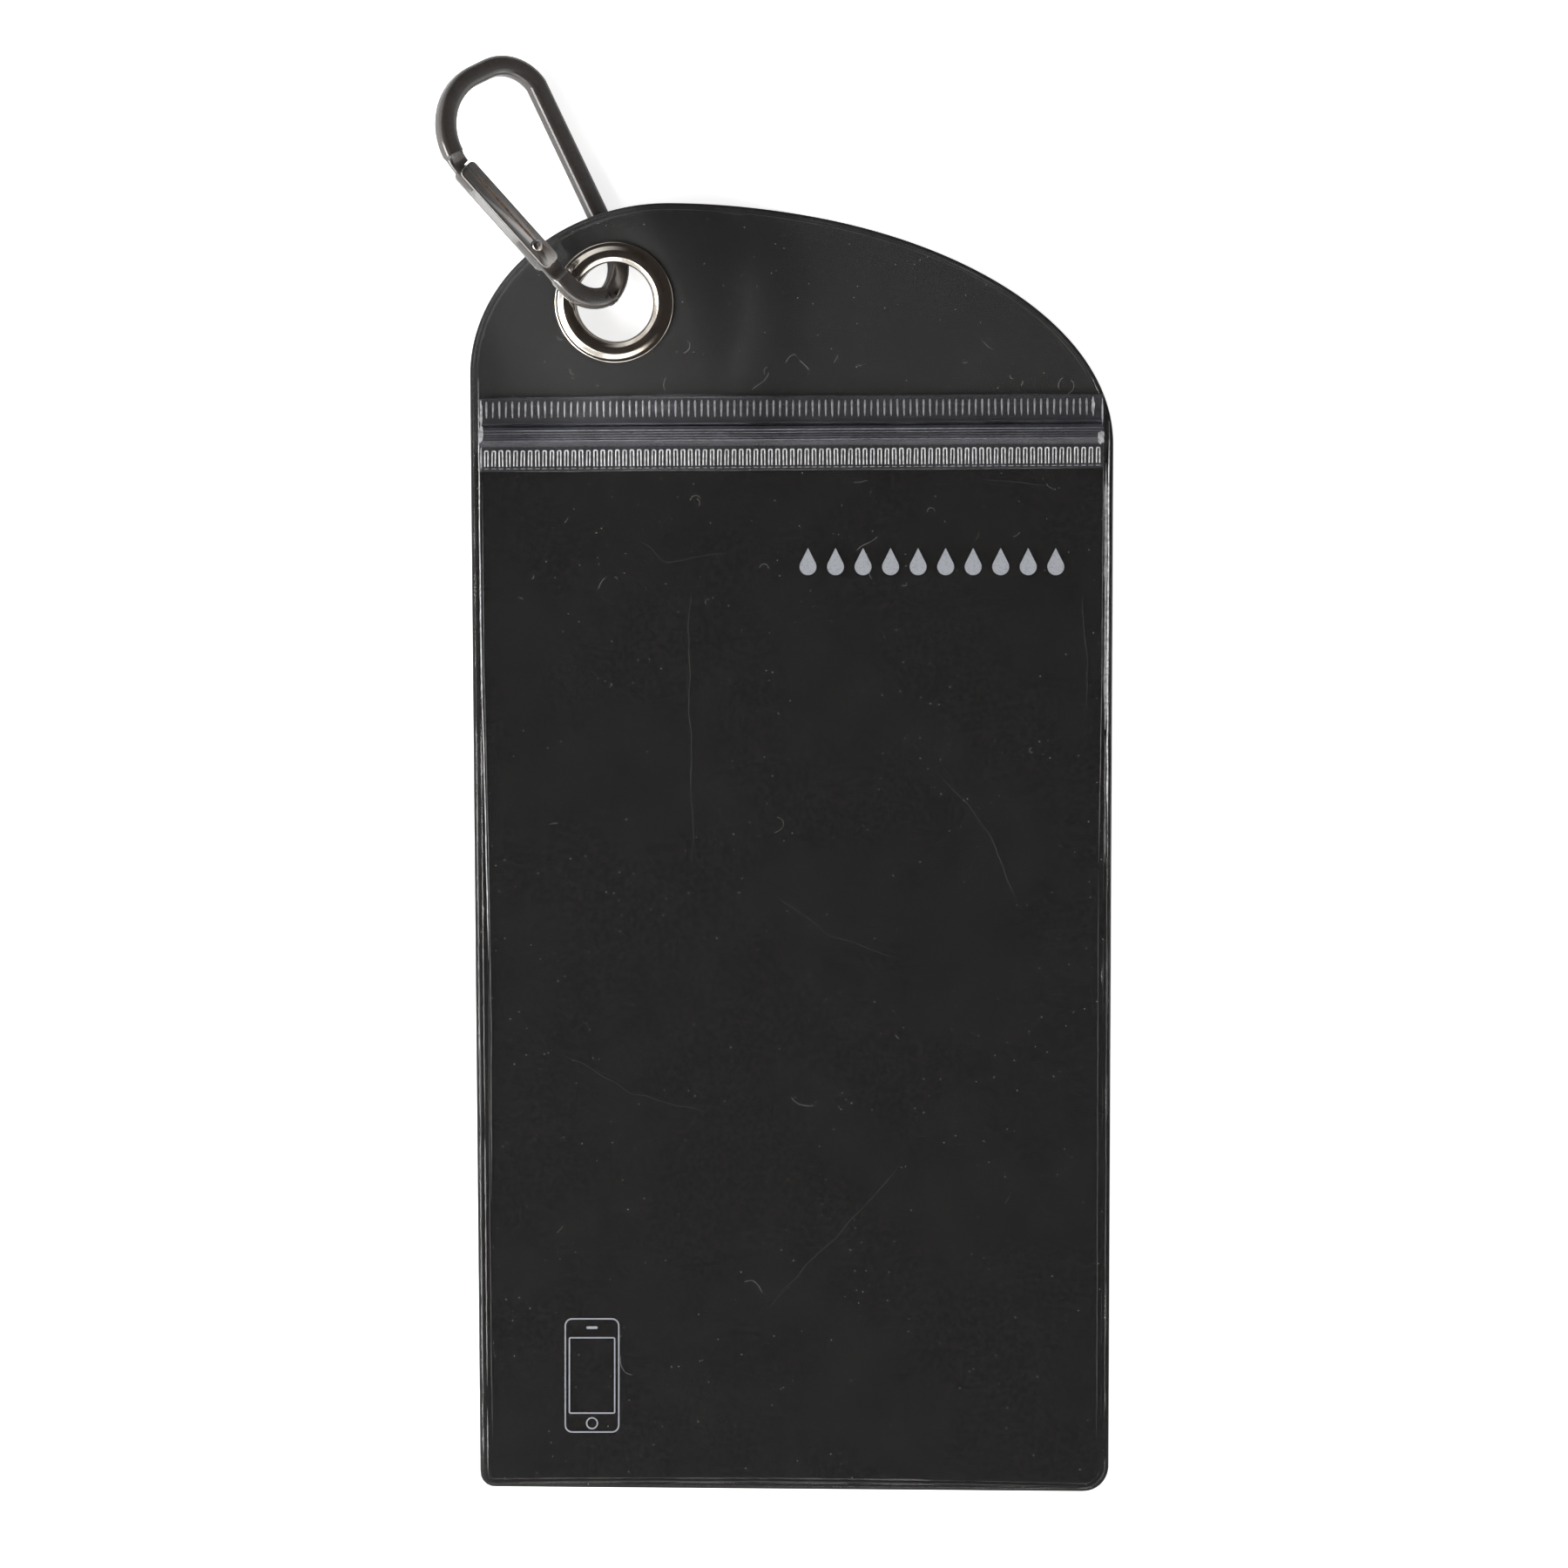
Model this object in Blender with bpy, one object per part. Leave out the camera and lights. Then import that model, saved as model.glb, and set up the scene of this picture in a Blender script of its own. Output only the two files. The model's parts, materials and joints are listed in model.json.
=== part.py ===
# Splashproof phone pouch: a welded film pouch with a press-to-close zip under a domed header,
# a metal eyelet in the header and a small snap hook through the eyelet.
# Metres, +Z up. The pouch lies on its back on Z = 0 with its header towards +Y, and the origin is
# in the middle of its back.

import math

import bmesh
import bpy
from mathutils import Matrix, Vector

# Pouch outline
POUCH_LENGTH = 0.2116
POUCH_WIDTH = 0.1062
LEFT_TAPER = 0.0017
RIGHT_TAPER = 0.0008
FOOT_SAG = 0.00055
FOOT_LEVEL_X = -0.0214
LEFT_CORNER_RADIUS = 0.0024
RIGHT_CORNER_RADIUS = 0.0042
APEX_FROM_LEFT = 0.0331
DOME_DROP_LEFT = 0.0282
DOME_DROP_RIGHT = 0.0396

# Films: two layers, the front one in two parts that end under the zip
FILM_THICKNESS = 0.00025
FILM_GAP = 0.00025
FRONT_INSET = 0.0004

# Zip: where its middle line runs, and its two strips
ZIP_BELOW_APEX = 0.0378
ZIP_SLOPE = 0.0063
ZIP_SIDE_INSET = 0.0016
FLANGE_REACH = 0.0060
STRIP_THICKNESS = 0.0003
STRIP_OVERLAP = 0.0034
TRACK_HALF_WIDTH = 0.0011
TRACK_WALL = 0.0003
RIB_HALF_WIDTH = 0.0003
RIB_HEAD_HALF_WIDTH = 0.0005
RIB_HEIGHT = 0.0007

# Eyelet
EYELET_FROM_LEFT = 0.0240
EYELET_BELOW_APEX = 0.0163
BORE_RADIUS = 0.00657
BARREL_WALL = 0.00038
FLANGE_RADIUS = 0.00996
FLANGE_HEIGHT = 0.00065
WASHER_RADIUS = 0.0098
WASHER_THICKNESS = 0.0003
CURL_THICKNESS = 0.00035
CURL_WIDTH = 0.0012
RIM_WIDTH = 0.0004
RIM_HEIGHT = 0.0002
CREST_INSET = 0.0005
CREST_WIDTH = 0.0010
SLOPE_WIDTH = 0.0007
INNER_DROP = 0.00036
EYELET_TILT = math.radians(12)
SEAT_GAP = 0.0002

# How the header drapes over the hook
FLAT_MARGIN = 0.0006
DRAPE_REACH = 0.034
DRAPE_CELL = 0.003

# Snap hook: corners of its rod's centre line, in its own plane. Lengths run up the straight spine
# from the foot bend in the eyelet, and widths run from the spine to the gate's side.
ROD_WIDTH = 0.0034
ROD_DEPTH = 0.0027
ROD_EDGE_RADIUS = 0.00095
SPINE_LENGTH = 0.0415
CROWN_LENGTH = 0.0410
CROWN_WIDTH = 0.0158
NOSE_LENGTH = 0.0323
NOSE_WIDTH = 0.0212
FOOT_WIDTH = 0.0092
FOOT_SLANT = 0.0019
SHOULDER_BEND_RADIUS = 0.0072
CROWN_BEND_RADIUS = 0.0101
NOSE_BEND_RADIUS = 0.0098
GATE_SIDE_BEND_RADIUS = 0.0062
SPINE_SIDE_BEND_RADIUS = 0.0072

# How the hook lies in the eyelet
SPINE_ANGLE = math.radians(-64.8)
SPINE_SIDE_ROOM = 0.0013
FOOT_SHORT_OF_CENTRE = 0.0024
HOOK_ROOM = 0.00046
LIFT_ROOM = 0.00087
FLOOR_GAP = 0.00002

# Gate and its pin
GATE_LENGTH = 0.0216
GATE_FROM_FOOT = 0.0101
GATE_WIDTH = 0.0035
GATE_DEPTH = 0.0025
GATE_WALL = 0.0004
GATE_END_RADIUS = 0.0009
GATE_GAP = 0.0003
TONGUE_WIDTH = 0.0023
NOSE_TONGUE = 0.0038
HINGE_TONGUE = 0.0064
SCOOP_FLAT = 0.0009
SCOOP_LENGTH = 0.0016
RIVET_FROM_END = 0.0039
RIVET_RADIUS = 0.0006
RIVET_HEAD_RADIUS = 0.001
RIVET_HEAD_HEIGHT = 0.0004
RIVET_GAP = 0.00015
SPRING_WIRE = 0.00022
SPRING_LENGTH = 0.0085
SPRING_BOW = 0.0008

# Smoothness of the round pieces
EYELET_SEGMENTS = 48
RIVET_SEGMENTS = 20
RIVET_HEAD_STEPS = 4
WIRE_SEGMENTS = 8
SPRING_STEPS = 12
BEND_STEP = math.radians(6)
EDGE_STEPS = 4
GATE_END_STEPS = 4
SCOOP_STEPS = 4
CORNER_STEPS = 6
FOOT_STEPS = 8
LEFT_DOME_STEPS = 14
RIGHT_DOME_STEPS = 22

# How far a cutter runs past what it cuts
OVERRUN = 0.001

# Colours as red, green, blue, then roughness and metallic
FINISHES = {
    "black_film": ((0.012, 0.012, 0.012), 0.30, 0.0),
    "clear_film": ((0.55, 0.56, 0.58), 0.15, 0.0),
    "nickel": ((0.62, 0.58, 0.53), 0.20, 1.0),
    "black_anodised": ((0.020, 0.018, 0.018), 0.35, 1.0),
    "bright_steel": ((0.70, 0.69, 0.67), 0.25, 1.0),
}

# Heights above the back film's underside
FRONT_FILM_Z = FILM_THICKNESS + FILM_GAP
FRONT_FILM_TOP = FRONT_FILM_Z + FILM_THICKNESS
FLANGE_TOP = FRONT_FILM_TOP + SEAT_GAP + FLANGE_HEIGHT
EYELET_BOTTOM = 2 * SEAT_GAP + WASHER_THICKNESS + CURL_THICKNESS

# Places on the pouch
SIDE_X = POUCH_WIDTH / 2
APEX_Y = POUCH_LENGTH / 2
FOOT_Y = -POUCH_LENGTH / 2
APEX_X = APEX_FROM_LEFT - SIDE_X
ZIP_Y = APEX_Y - ZIP_BELOW_APEX
EYELET_X = EYELET_FROM_LEFT - SIDE_X
EYELET_Y = APEX_Y - EYELET_BELOW_APEX
EYELET_CENTRE = Vector((EYELET_X, EYELET_Y))

# Directions in plan: along the spine towards the foot bend, and across it away from the gate
ALONG = Vector((math.cos(SPINE_ANGLE), math.sin(SPINE_ANGLE)))
ACROSS = Vector((-ALONG.y, ALONG.x))

# The rod climbs from under the eyelet to over it within the width of the foot bend
ROD_CLIMB = ROD_DEPTH + FLANGE_TOP + EYELET_BOTTOM + 2 * HOOK_ROOM
HOOK_TILT = math.asin(ROD_CLIMB / FOOT_WIDTH) - EYELET_TILT
SPINE_HEIGHT = (
    math.hypot(ROD_WIDTH / 2 - ROD_EDGE_RADIUS, ROD_DEPTH / 2 - ROD_EDGE_RADIUS)
    + ROD_EDGE_RADIUS
    + FLOOR_GAP
)
SPINE_OFFSET = BORE_RADIUS - ROD_WIDTH / 2 - SPINE_SIDE_ROOM
EYELET_LIFT = (
    2 * SPINE_HEIGHT + EYELET_BOTTOM + LIFT_ROOM - math.tan(EYELET_TILT) * SPINE_OFFSET
)
FLAT_RADIUS = FLANGE_RADIUS + FLAT_MARGIN


def clear_scene():
    for item in list(bpy.data.objects):
        bpy.data.objects.remove(item, do_unlink=True)


def make_material(name):
    colour, roughness, metallic = FINISHES[name]
    material = bpy.data.materials.new(name)
    material.use_nodes = True
    shader = material.node_tree.nodes["Principled BSDF"]
    shader.inputs["Base Color"].default_value = (*colour, 1.0)
    shader.inputs["Roughness"].default_value = roughness
    shader.inputs["Metallic"].default_value = metallic
    material.diffuse_color = (*colour, 1.0)
    return material


def lift(x, y):
    # Height of the back film over the floor: level with the eyelet's plane around the eyelet,
    # falling smoothly to the floor further out
    offset = Vector((x, y)) - EYELET_CENTRE
    rise = min(offset.dot(ACROSS), FLAT_RADIUS)
    plane = max(EYELET_LIFT + math.tan(EYELET_TILT) * rise, 0.0)
    share = (offset.length - FLAT_RADIUS) / (DRAPE_REACH - FLAT_RADIUS)
    share = min(max(share, 0.0), 1.0)
    return plane * (1 - share * share * (3 - 2 * share))


def zip_line(x):
    return ZIP_Y + ZIP_SLOPE * x


def left_side(y):
    share = (APEX_Y - DOME_DROP_LEFT - y) / (APEX_Y - DOME_DROP_LEFT - FOOT_Y)
    return -SIDE_X + LEFT_TAPER * max(share, 0.0)


def right_side(y):
    share = (APEX_Y - DOME_DROP_RIGHT - y) / (APEX_Y - DOME_DROP_RIGHT - FOOT_Y)
    return SIDE_X - RIGHT_TAPER * max(share, 0.0)


def foot_edge(x):
    return FOOT_Y - FOOT_SAG * ((x - FOOT_LEVEL_X) / SIDE_X) ** 2


def arc(centre, radius_x, radius_y, start, end, steps):
    points = []
    for step in range(steps + 1):
        angle = start + (end - start) * step / steps
        points.append((centre[0] + radius_x * math.cos(angle), centre[1] + radius_y * math.sin(angle)))
    return points


def pouch_outline():
    # Anticlockwise from the foot's left corner
    left = left_side(FOOT_Y)
    right = right_side(FOOT_Y)
    corner = LEFT_CORNER_RADIUS
    middle = (left + corner, foot_edge(left + corner) + corner)
    outline = arc(middle, corner, corner, math.pi, 1.5 * math.pi, CORNER_STEPS)
    foot_start = left + corner
    foot_end = right - RIGHT_CORNER_RADIUS
    for step in range(1, FOOT_STEPS):
        x = foot_start + (foot_end - foot_start) * step / FOOT_STEPS
        outline.append((x, foot_edge(x)))
    corner = RIGHT_CORNER_RADIUS
    middle = (right - corner, foot_edge(right - corner) + corner)
    outline += arc(middle, corner, corner, -0.5 * math.pi, 0.0, CORNER_STEPS)
    middle = (APEX_X, APEX_Y - DOME_DROP_RIGHT)
    outline += arc(middle, SIDE_X - APEX_X, DOME_DROP_RIGHT, 0.0, 0.5 * math.pi, RIGHT_DOME_STEPS)
    middle = (APEX_X, APEX_Y - DOME_DROP_LEFT)
    outline += arc(middle, APEX_FROM_LEFT, DOME_DROP_LEFT, 0.5 * math.pi, math.pi, LEFT_DOME_STEPS)[1:]
    return outline


def inset_outline(outline, inset):
    moved = []
    count = len(outline)
    for index in range(count):
        before = Vector(outline[index - 1])
        here = Vector(outline[index])
        after = Vector(outline[(index + 1) % count])
        direction = (after - before).normalized()
        moved.append(tuple(here + Vector((-direction.y, direction.x)) * inset))
    return moved


def clip_outline(outline, height):
    # Keeps the points where height(x, y) is positive, and adds the points where it is zero
    kept = []
    for index, here in enumerate(outline):
        before = outline[index - 1]
        level_before = height(*before)
        level_here = height(*here)
        if (level_before > 0) != (level_here > 0):
            share = level_before / (level_before - level_here)
            kept.append(tuple(Vector(before).lerp(Vector(here), share)))
        if level_here > 0:
            kept.append(here)
    return kept


def new_object(name, mesh, material, parent=None):
    item = bpy.data.objects.new(name, mesh)
    bpy.context.scene.collection.objects.link(item)
    mesh.materials.clear()
    mesh.materials.append(material)
    item.parent = parent
    return item


def finish_mesh(form, name):
    bmesh.ops.recalc_face_normals(form, faces=form.faces)
    mesh = bpy.data.meshes.new(name)
    form.to_mesh(mesh)
    form.free()
    return mesh


def loft(rings, closed=False):
    # A skin over rings of equally many points, with a flat cap at each open end
    form = bmesh.new()
    rows = [[form.verts.new(point) for point in ring] for ring in rings]
    pairs = list(zip(rows, rows[1:]))
    if closed:
        pairs.append((rows[-1], rows[0]))
    for lower, upper in pairs:
        for index in range(len(lower)):
            after = (index + 1) % len(lower)
            form.faces.new((lower[index], lower[after], upper[after], upper[index]))
    if not closed:
        form.faces.new(list(reversed(rows[0])))
        form.faces.new(rows[-1])
    return form


def turned(profile, segments):
    # Closed profile of (radius, height) points, turned about Z
    rings = []
    for step in range(segments):
        angle = 2 * math.pi * step / segments
        rings.append([(r * math.cos(angle), r * math.sin(angle), z) for r, z in profile])
    return loft(rings, closed=True)


def cut(item, cutter):
    # The cutter keeps its place and is left out of the part
    cutter.hide_render = True
    cutter.display_type = "WIRE"
    boolean = item.modifiers.new("cut_" + cutter.name, "BOOLEAN")
    boolean.operation = "DIFFERENCE"
    boolean.solver = "EXACT"
    boolean.object = cutter


def make_cutter(name, form, parent=None):
    cutter = bpy.data.objects.new(name, finish_mesh(form, name))
    bpy.context.scene.collection.objects.link(cutter)
    cutter.parent = parent
    cutter.hide_render = True
    cutter.display_type = "WIRE"
    return cutter


def slice_form(form, x_values, y_values, region):
    def part_of_region():
        faces = [face for face in form.faces if region(face.calc_center_median())]
        edges = {edge for face in faces for edge in face.edges}
        verts = {vert for face in faces for vert in face.verts}
        return list(verts) + list(edges) + faces

    for y in y_values:
        bmesh.ops.bisect_plane(form, geom=part_of_region(), plane_co=(0, y, 0), plane_no=(0, 1, 0))
    for x in x_values:
        bmesh.ops.bisect_plane(form, geom=part_of_region(), plane_co=(x, 0, 0), plane_no=(1, 0, 0))


def make_film(name, outline, underside, hole_radius, material):
    form = bmesh.new()
    face = form.faces.new([form.verts.new((x, y, underside)) for x, y in outline])
    raised = bmesh.ops.extrude_face_region(form, geom=[face])
    top = [vert for vert in raised["geom"] if isinstance(vert, bmesh.types.BMVert)]
    bmesh.ops.translate(form, verts=top, vec=(0, 0, FILM_THICKNESS))
    lowest = EYELET_Y - DRAPE_REACH
    bmesh.ops.bisect_plane(
        form, geom=form.verts[:] + form.edges[:] + form.faces[:], plane_co=(0, lowest, 0), plane_no=(0, 1, 0)
    )
    cells = math.ceil(DRAPE_REACH / DRAPE_CELL)
    x_values = [EYELET_X + DRAPE_CELL * step for step in range(-cells, cells + 1)]
    y_values = [EYELET_Y + DRAPE_CELL * step for step in range(-cells, cells + 1)]
    slice_form(form, x_values, y_values, lambda middle: middle.y > lowest)
    mesh = finish_mesh(form, name)
    if hole_radius:
        mesh = punch_hole(mesh, hole_radius)
    form = bmesh.new()
    form.from_mesh(mesh)
    bmesh.ops.triangulate(form, faces=form.faces)
    for vert in form.verts:
        vert.co.z += lift(vert.co.x, vert.co.y)
    form.to_mesh(mesh)
    form.free()
    return new_object(name, mesh, material)


def punch_hole(mesh, radius):
    # The films are punched while flat, before they drape
    sheet = bpy.data.objects.new("flat_film", mesh)
    bpy.context.scene.collection.objects.link(sheet)
    form = bmesh.new()
    matrix = Matrix.Translation((EYELET_X, EYELET_Y, 0))
    bmesh.ops.create_cone(
        form,
        cap_ends=True,
        segments=EYELET_SEGMENTS,
        radius1=radius,
        radius2=radius,
        depth=2 * (FRONT_FILM_TOP + OVERRUN),
        matrix=matrix,
    )
    punch = make_cutter("film_punch", form)
    cut(sheet, punch)
    bpy.context.view_layer.update()
    evaluated = sheet.evaluated_get(bpy.context.evaluated_depsgraph_get())
    punched = bpy.data.meshes.new_from_object(evaluated)
    bpy.data.objects.remove(sheet, do_unlink=True)
    bpy.data.objects.remove(punch, do_unlink=True)
    return punched


def make_films():
    black = make_material("black_film")
    clear = make_material("clear_film")
    outline = pouch_outline()
    front = inset_outline(outline, FRONT_INSET)
    hole = BORE_RADIUS + BARREL_WALL + SEAT_GAP
    make_film("back_sheet", outline, 0.0, hole, black)
    header_foot = STRIP_OVERLAP - TRACK_HALF_WIDTH
    header = clip_outline(front, lambda x, y: y - zip_line(x) - header_foot)
    make_film("header_sheet", header, FRONT_FILM_Z, hole, clear)
    window = clip_outline(front, lambda x, y: zip_line(x) - STRIP_OVERLAP + FRONT_INSET - y)
    make_film("window_sheet", window, FRONT_FILM_Z, None, clear)
    return clear


def zip_profiles():
    # Points across the zip: distance above its middle line, height above the back film
    low = FRONT_FILM_Z
    web_top = low + STRIP_THICKNESS
    flange_low = FRONT_FILM_TOP + FILM_GAP
    flange_top = flange_low + STRIP_THICKNESS
    rib_top = web_top + RIB_HEIGHT
    neck = RIB_HALF_WIDTH
    head = RIB_HEAD_HALF_WIDTH
    rib_shoulder = (web_top + rib_top) / 2
    web_end = STRIP_OVERLAP - TRACK_HALF_WIDTH - 2 * FILM_GAP
    step = STRIP_THICKNESS
    upper = [
        (FLANGE_REACH, flange_low),
        (FLANGE_REACH, flange_top),
        (web_end - step, flange_top),
        (web_end - 2 * step, web_top),
        (neck, web_top),
        (neck, rib_shoulder - neck / 2),
        (head, rib_shoulder),
        (neck, rib_top),
        (-neck, rib_top),
        (-head, rib_shoulder),
        (-neck, rib_shoulder - neck / 2),
        (-neck, web_top),
        (-TRACK_HALF_WIDTH - step, web_top),
        (-TRACK_HALF_WIDTH - step, low),
        (web_end - step, low),
        (web_end, flange_low),
    ]
    wall = TRACK_HALF_WIDTH
    groove = wall - TRACK_WALL
    wall_low = web_top + FILM_GAP
    cap_low = rib_top + FILM_GAP
    cap_top = cap_low + STRIP_THICKNESS
    slope_start = wall + step
    slope_end = slope_start + cap_low - flange_low
    lower = [
        (wall, wall_low),
        (wall, cap_top),
        (-slope_start, cap_top),
        (-slope_end, flange_top),
        (-FLANGE_REACH, flange_top),
        (-FLANGE_REACH, flange_low),
        (-slope_end + step, flange_low),
        (-slope_start + step, cap_low),
        (-wall, cap_low),
        (-wall, wall_low),
        (-groove, wall_low),
        (-groove, cap_low),
        (groove, cap_low),
        (groove, wall_low),
    ]
    return upper, lower


def make_zip(material):
    left = left_side(ZIP_Y) + ZIP_SIDE_INSET
    right = right_side(ZIP_Y) - ZIP_SIDE_INSET
    drape_end = EYELET_X + DRAPE_REACH
    cells = math.ceil((drape_end - left) / DRAPE_CELL)
    stations = [left + (drape_end - left) * step / cells for step in range(cells + 1)] + [right]
    for name, profile in zip(("zip_upper_strip", "zip_lower_strip"), zip_profiles()):
        rings = []
        for x in stations:
            ring = []
            for above, height in profile:
                y = zip_line(x) + above
                ring.append((x, y, height + lift(x, y)))
            rings.append(ring)
        new_object(name, finish_mesh(loft(rings), name), material)


def make_eyelet():
    metal = make_material("nickel")
    place = Vector((EYELET_X, EYELET_Y, EYELET_LIFT))
    turn = Matrix.Rotation(EYELET_TILT, 4, Vector((*ALONG, 0)))
    bore = BORE_RADIUS
    barrel = bore + BARREL_WALL
    flange_low = FRONT_FILM_TOP + SEAT_GAP
    crest = (bore + FLANGE_RADIUS) / 2 - CREST_INSET
    crest_in = crest - CREST_WIDTH / 2
    crest_out = crest + CREST_WIDTH / 2
    curl_top = -2 * SEAT_GAP - WASHER_THICKNESS
    curl_low = -EYELET_BOTTOM
    curl_middle = (curl_low + curl_top) / 2
    curl_edge = barrel + CURL_WIDTH
    curl_round = CURL_THICKNESS / 2
    profile = [
        (bore, curl_top),
        (bore + BARREL_WALL / 2, curl_middle),
        (barrel, curl_low),
        (curl_edge - curl_round, curl_low),
        (curl_edge, curl_middle),
        (curl_edge - curl_round, curl_top),
        (barrel, curl_top),
        (barrel, flange_low),
        (FLANGE_RADIUS, flange_low),
        (FLANGE_RADIUS, flange_low + RIM_HEIGHT),
        (FLANGE_RADIUS - RIM_WIDTH, flange_low + RIM_HEIGHT),
        (crest_out + SLOPE_WIDTH, FLANGE_TOP - INNER_DROP / 3),
        (crest_out, FLANGE_TOP),
        (crest_in, FLANGE_TOP),
        (crest_in - SLOPE_WIDTH, FLANGE_TOP - INNER_DROP / 3),
        (bore, FLANGE_TOP - INNER_DROP),
    ]
    flange_mesh = finish_mesh(turned(profile, EYELET_SEGMENTS), "eyelet_flange")
    flange = new_object("eyelet_flange", flange_mesh, metal)
    hole = barrel + SEAT_GAP
    washer_top = -SEAT_GAP
    washer_low = washer_top - WASHER_THICKNESS
    bevel = WASHER_THICKNESS / 3
    ring = [
        (hole, washer_low),
        (WASHER_RADIUS - bevel, washer_low),
        (WASHER_RADIUS, washer_low + bevel),
        (WASHER_RADIUS, washer_top),
        (hole, washer_top),
    ]
    washer_mesh = finish_mesh(turned(ring, EYELET_SEGMENTS), "eyelet_washer")
    washer = new_object("eyelet_washer", washer_mesh, metal)
    for item in (flange, washer):
        item.matrix_world = Matrix.Translation(place) @ turn
        smooth(item)


def smooth(item):
    item.data.shade_smooth()
    item.data.set_sharp_from_angle(angle=math.radians(35))


def bend(before, corner, after, radius):
    # Centre and sweep of the arc that rounds a corner, as points
    corner = Vector(corner)
    back = (Vector(before) - corner).normalized()
    ahead = (Vector(after) - corner).normalized()
    half = back.angle(ahead) / 2
    centre = corner + (back + ahead).normalized() * radius / math.sin(half)
    start = corner + back * radius / math.tan(half) - centre
    sweep = math.pi - 2 * half
    turn = 1 if back.cross(ahead) < 0 else -1
    steps = max(2, math.ceil(sweep / BEND_STEP))
    points = []
    for step in range(steps + 1):
        angle = turn * sweep * step / steps
        rotated = Vector(
            (
                start.x * math.cos(angle) - start.y * math.sin(angle),
                start.x * math.sin(angle) + start.y * math.cos(angle),
            )
        )
        points.append(centre + rotated)
    return points


def hook_corners():
    spine_foot = Vector((0.0, 0.0))
    spine_head = Vector((-SPINE_LENGTH, 0.0))
    crown = Vector((-CROWN_LENGTH, -CROWN_WIDTH))
    nose = Vector((-NOSE_LENGTH, -NOSE_WIDTH))
    foot = Vector((FOOT_SLANT, -FOOT_WIDTH))
    return spine_foot, spine_head, crown, nose, foot


def gate_points():
    # The gate's lower end, its pin and its upper end, on the straight line from foot to nose
    *_, nose, foot = hook_corners()
    direction = (nose - foot).normalized()
    low = foot + direction * GATE_FROM_FOOT
    return low, low + direction * RIVET_FROM_END, low + direction * GATE_LENGTH, direction


def rod_path():
    # Centre line of the rod from the hinge end round the foot, up the spine and over the crown to
    # the nose end. It stops a gap short of the gate at each end.
    spine_foot, spine_head, crown, nose, foot = hook_corners()
    low, _, high, direction = gate_points()
    path = bend(nose, foot, spine_foot, GATE_SIDE_BEND_RADIUS)
    path += bend(foot, spine_foot, spine_head, SPINE_SIDE_BEND_RADIUS)
    path += bend(spine_foot, spine_head, crown, SHOULDER_BEND_RADIUS)
    path += bend(spine_head, crown, nose, CROWN_BEND_RADIUS)
    path += bend(crown, nose, foot, NOSE_BEND_RADIUS)
    first = low - direction * GATE_GAP
    last = high + direction * GATE_GAP
    clear = SCOOP_LENGTH / SCOOP_STEPS
    kept = [
        point
        for point in path
        if (first - point).dot(direction) > clear or (point - last).dot(direction) > clear
    ]
    return [first] + kept + [last]


def point_along(path, distance):
    for before, after in zip(path, path[1:]):
        step = (after - before).length
        if distance <= step or after is path[-1]:
            return before.lerp(after, distance / step)
        distance -= step


def rounded_section(low, high, half_depth, radius):
    # Points of a rounded rectangle: across from low to high, and half_depth to each side
    fullest = 0.98
    radius = min(radius, half_depth * fullest, (high - low) / 2 * fullest)
    middles = (
        (high - radius, half_depth - radius, 0.0),
        (low + radius, half_depth - radius, 0.5 * math.pi),
        (low + radius, radius - half_depth, math.pi),
        (high - radius, radius - half_depth, 1.5 * math.pi),
    )
    points = []
    for across, deep, start in middles:
        for step in range(EDGE_STEPS + 1):
            angle = start + 0.5 * math.pi * step / EDGE_STEPS
            points.append((across + radius * math.cos(angle), deep + radius * math.sin(angle)))
    return points


def ring_at(point, forward, section):
    side = Vector((-forward.y, forward.x))
    return [(*(point + side * across), deep) for across, deep in section]


def rod_half_depth(distance):
    # The rod's ends are pressed flat beside the gate, with a hollow run-out to the full depth
    flat = GATE_DEPTH / 2 - GATE_WALL - GATE_GAP
    share = min(max((distance - SCOOP_FLAT) / SCOOP_LENGTH, 0.0), 1.0)
    return flat + (ROD_DEPTH / 2 - flat) * share**2


def hook_rings():
    low, _, high, direction = gate_points()
    half_width = ROD_WIDTH / 2
    tongue = rounded_section(-half_width, TONGUE_WIDTH - half_width, rod_half_depth(0), ROD_EDGE_RADIUS)
    path = rod_path()
    total = sum((after - before).length for before, after in zip(path, path[1:]))
    run_out = [0.0]
    for step in range(SCOOP_STEPS + 1):
        run_out.append(SCOOP_FLAT + SCOOP_LENGTH * step / SCOOP_STEPS)
    stations = list(run_out)
    travelled = 0.0
    for before, after in zip(path, path[1:-1]):
        travelled += (after - before).length
        if run_out[-1] < travelled < total - run_out[-1]:
            stations.append(travelled)
    stations += [total - distance for distance in reversed(run_out)]
    # The tongues lie on the outer side, which is on the right of the path at both ends
    rings = [ring_at(low + direction * HINGE_TONGUE, -direction, tongue)]
    rings.append(ring_at(low - direction * GATE_GAP, -direction, tongue))
    for distance in stations:
        half_depth = rod_half_depth(min(distance, total - distance))
        section = rounded_section(-half_width, half_width, half_depth, ROD_EDGE_RADIUS)
        reach = ROD_EDGE_RADIUS
        before = point_along(path, max(distance - reach, 0.0))
        after = point_along(path, min(distance + reach, total))
        forward = (after - before).normalized()
        if distance in (0.0, total):
            forward = -direction
        rings.append(ring_at(point_along(path, distance), forward, section))
    rings.append(ring_at(high + direction * GATE_GAP, -direction, tongue))
    rings.append(ring_at(high - direction * NOSE_TONGUE, -direction, tongue))
    return rings


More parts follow.
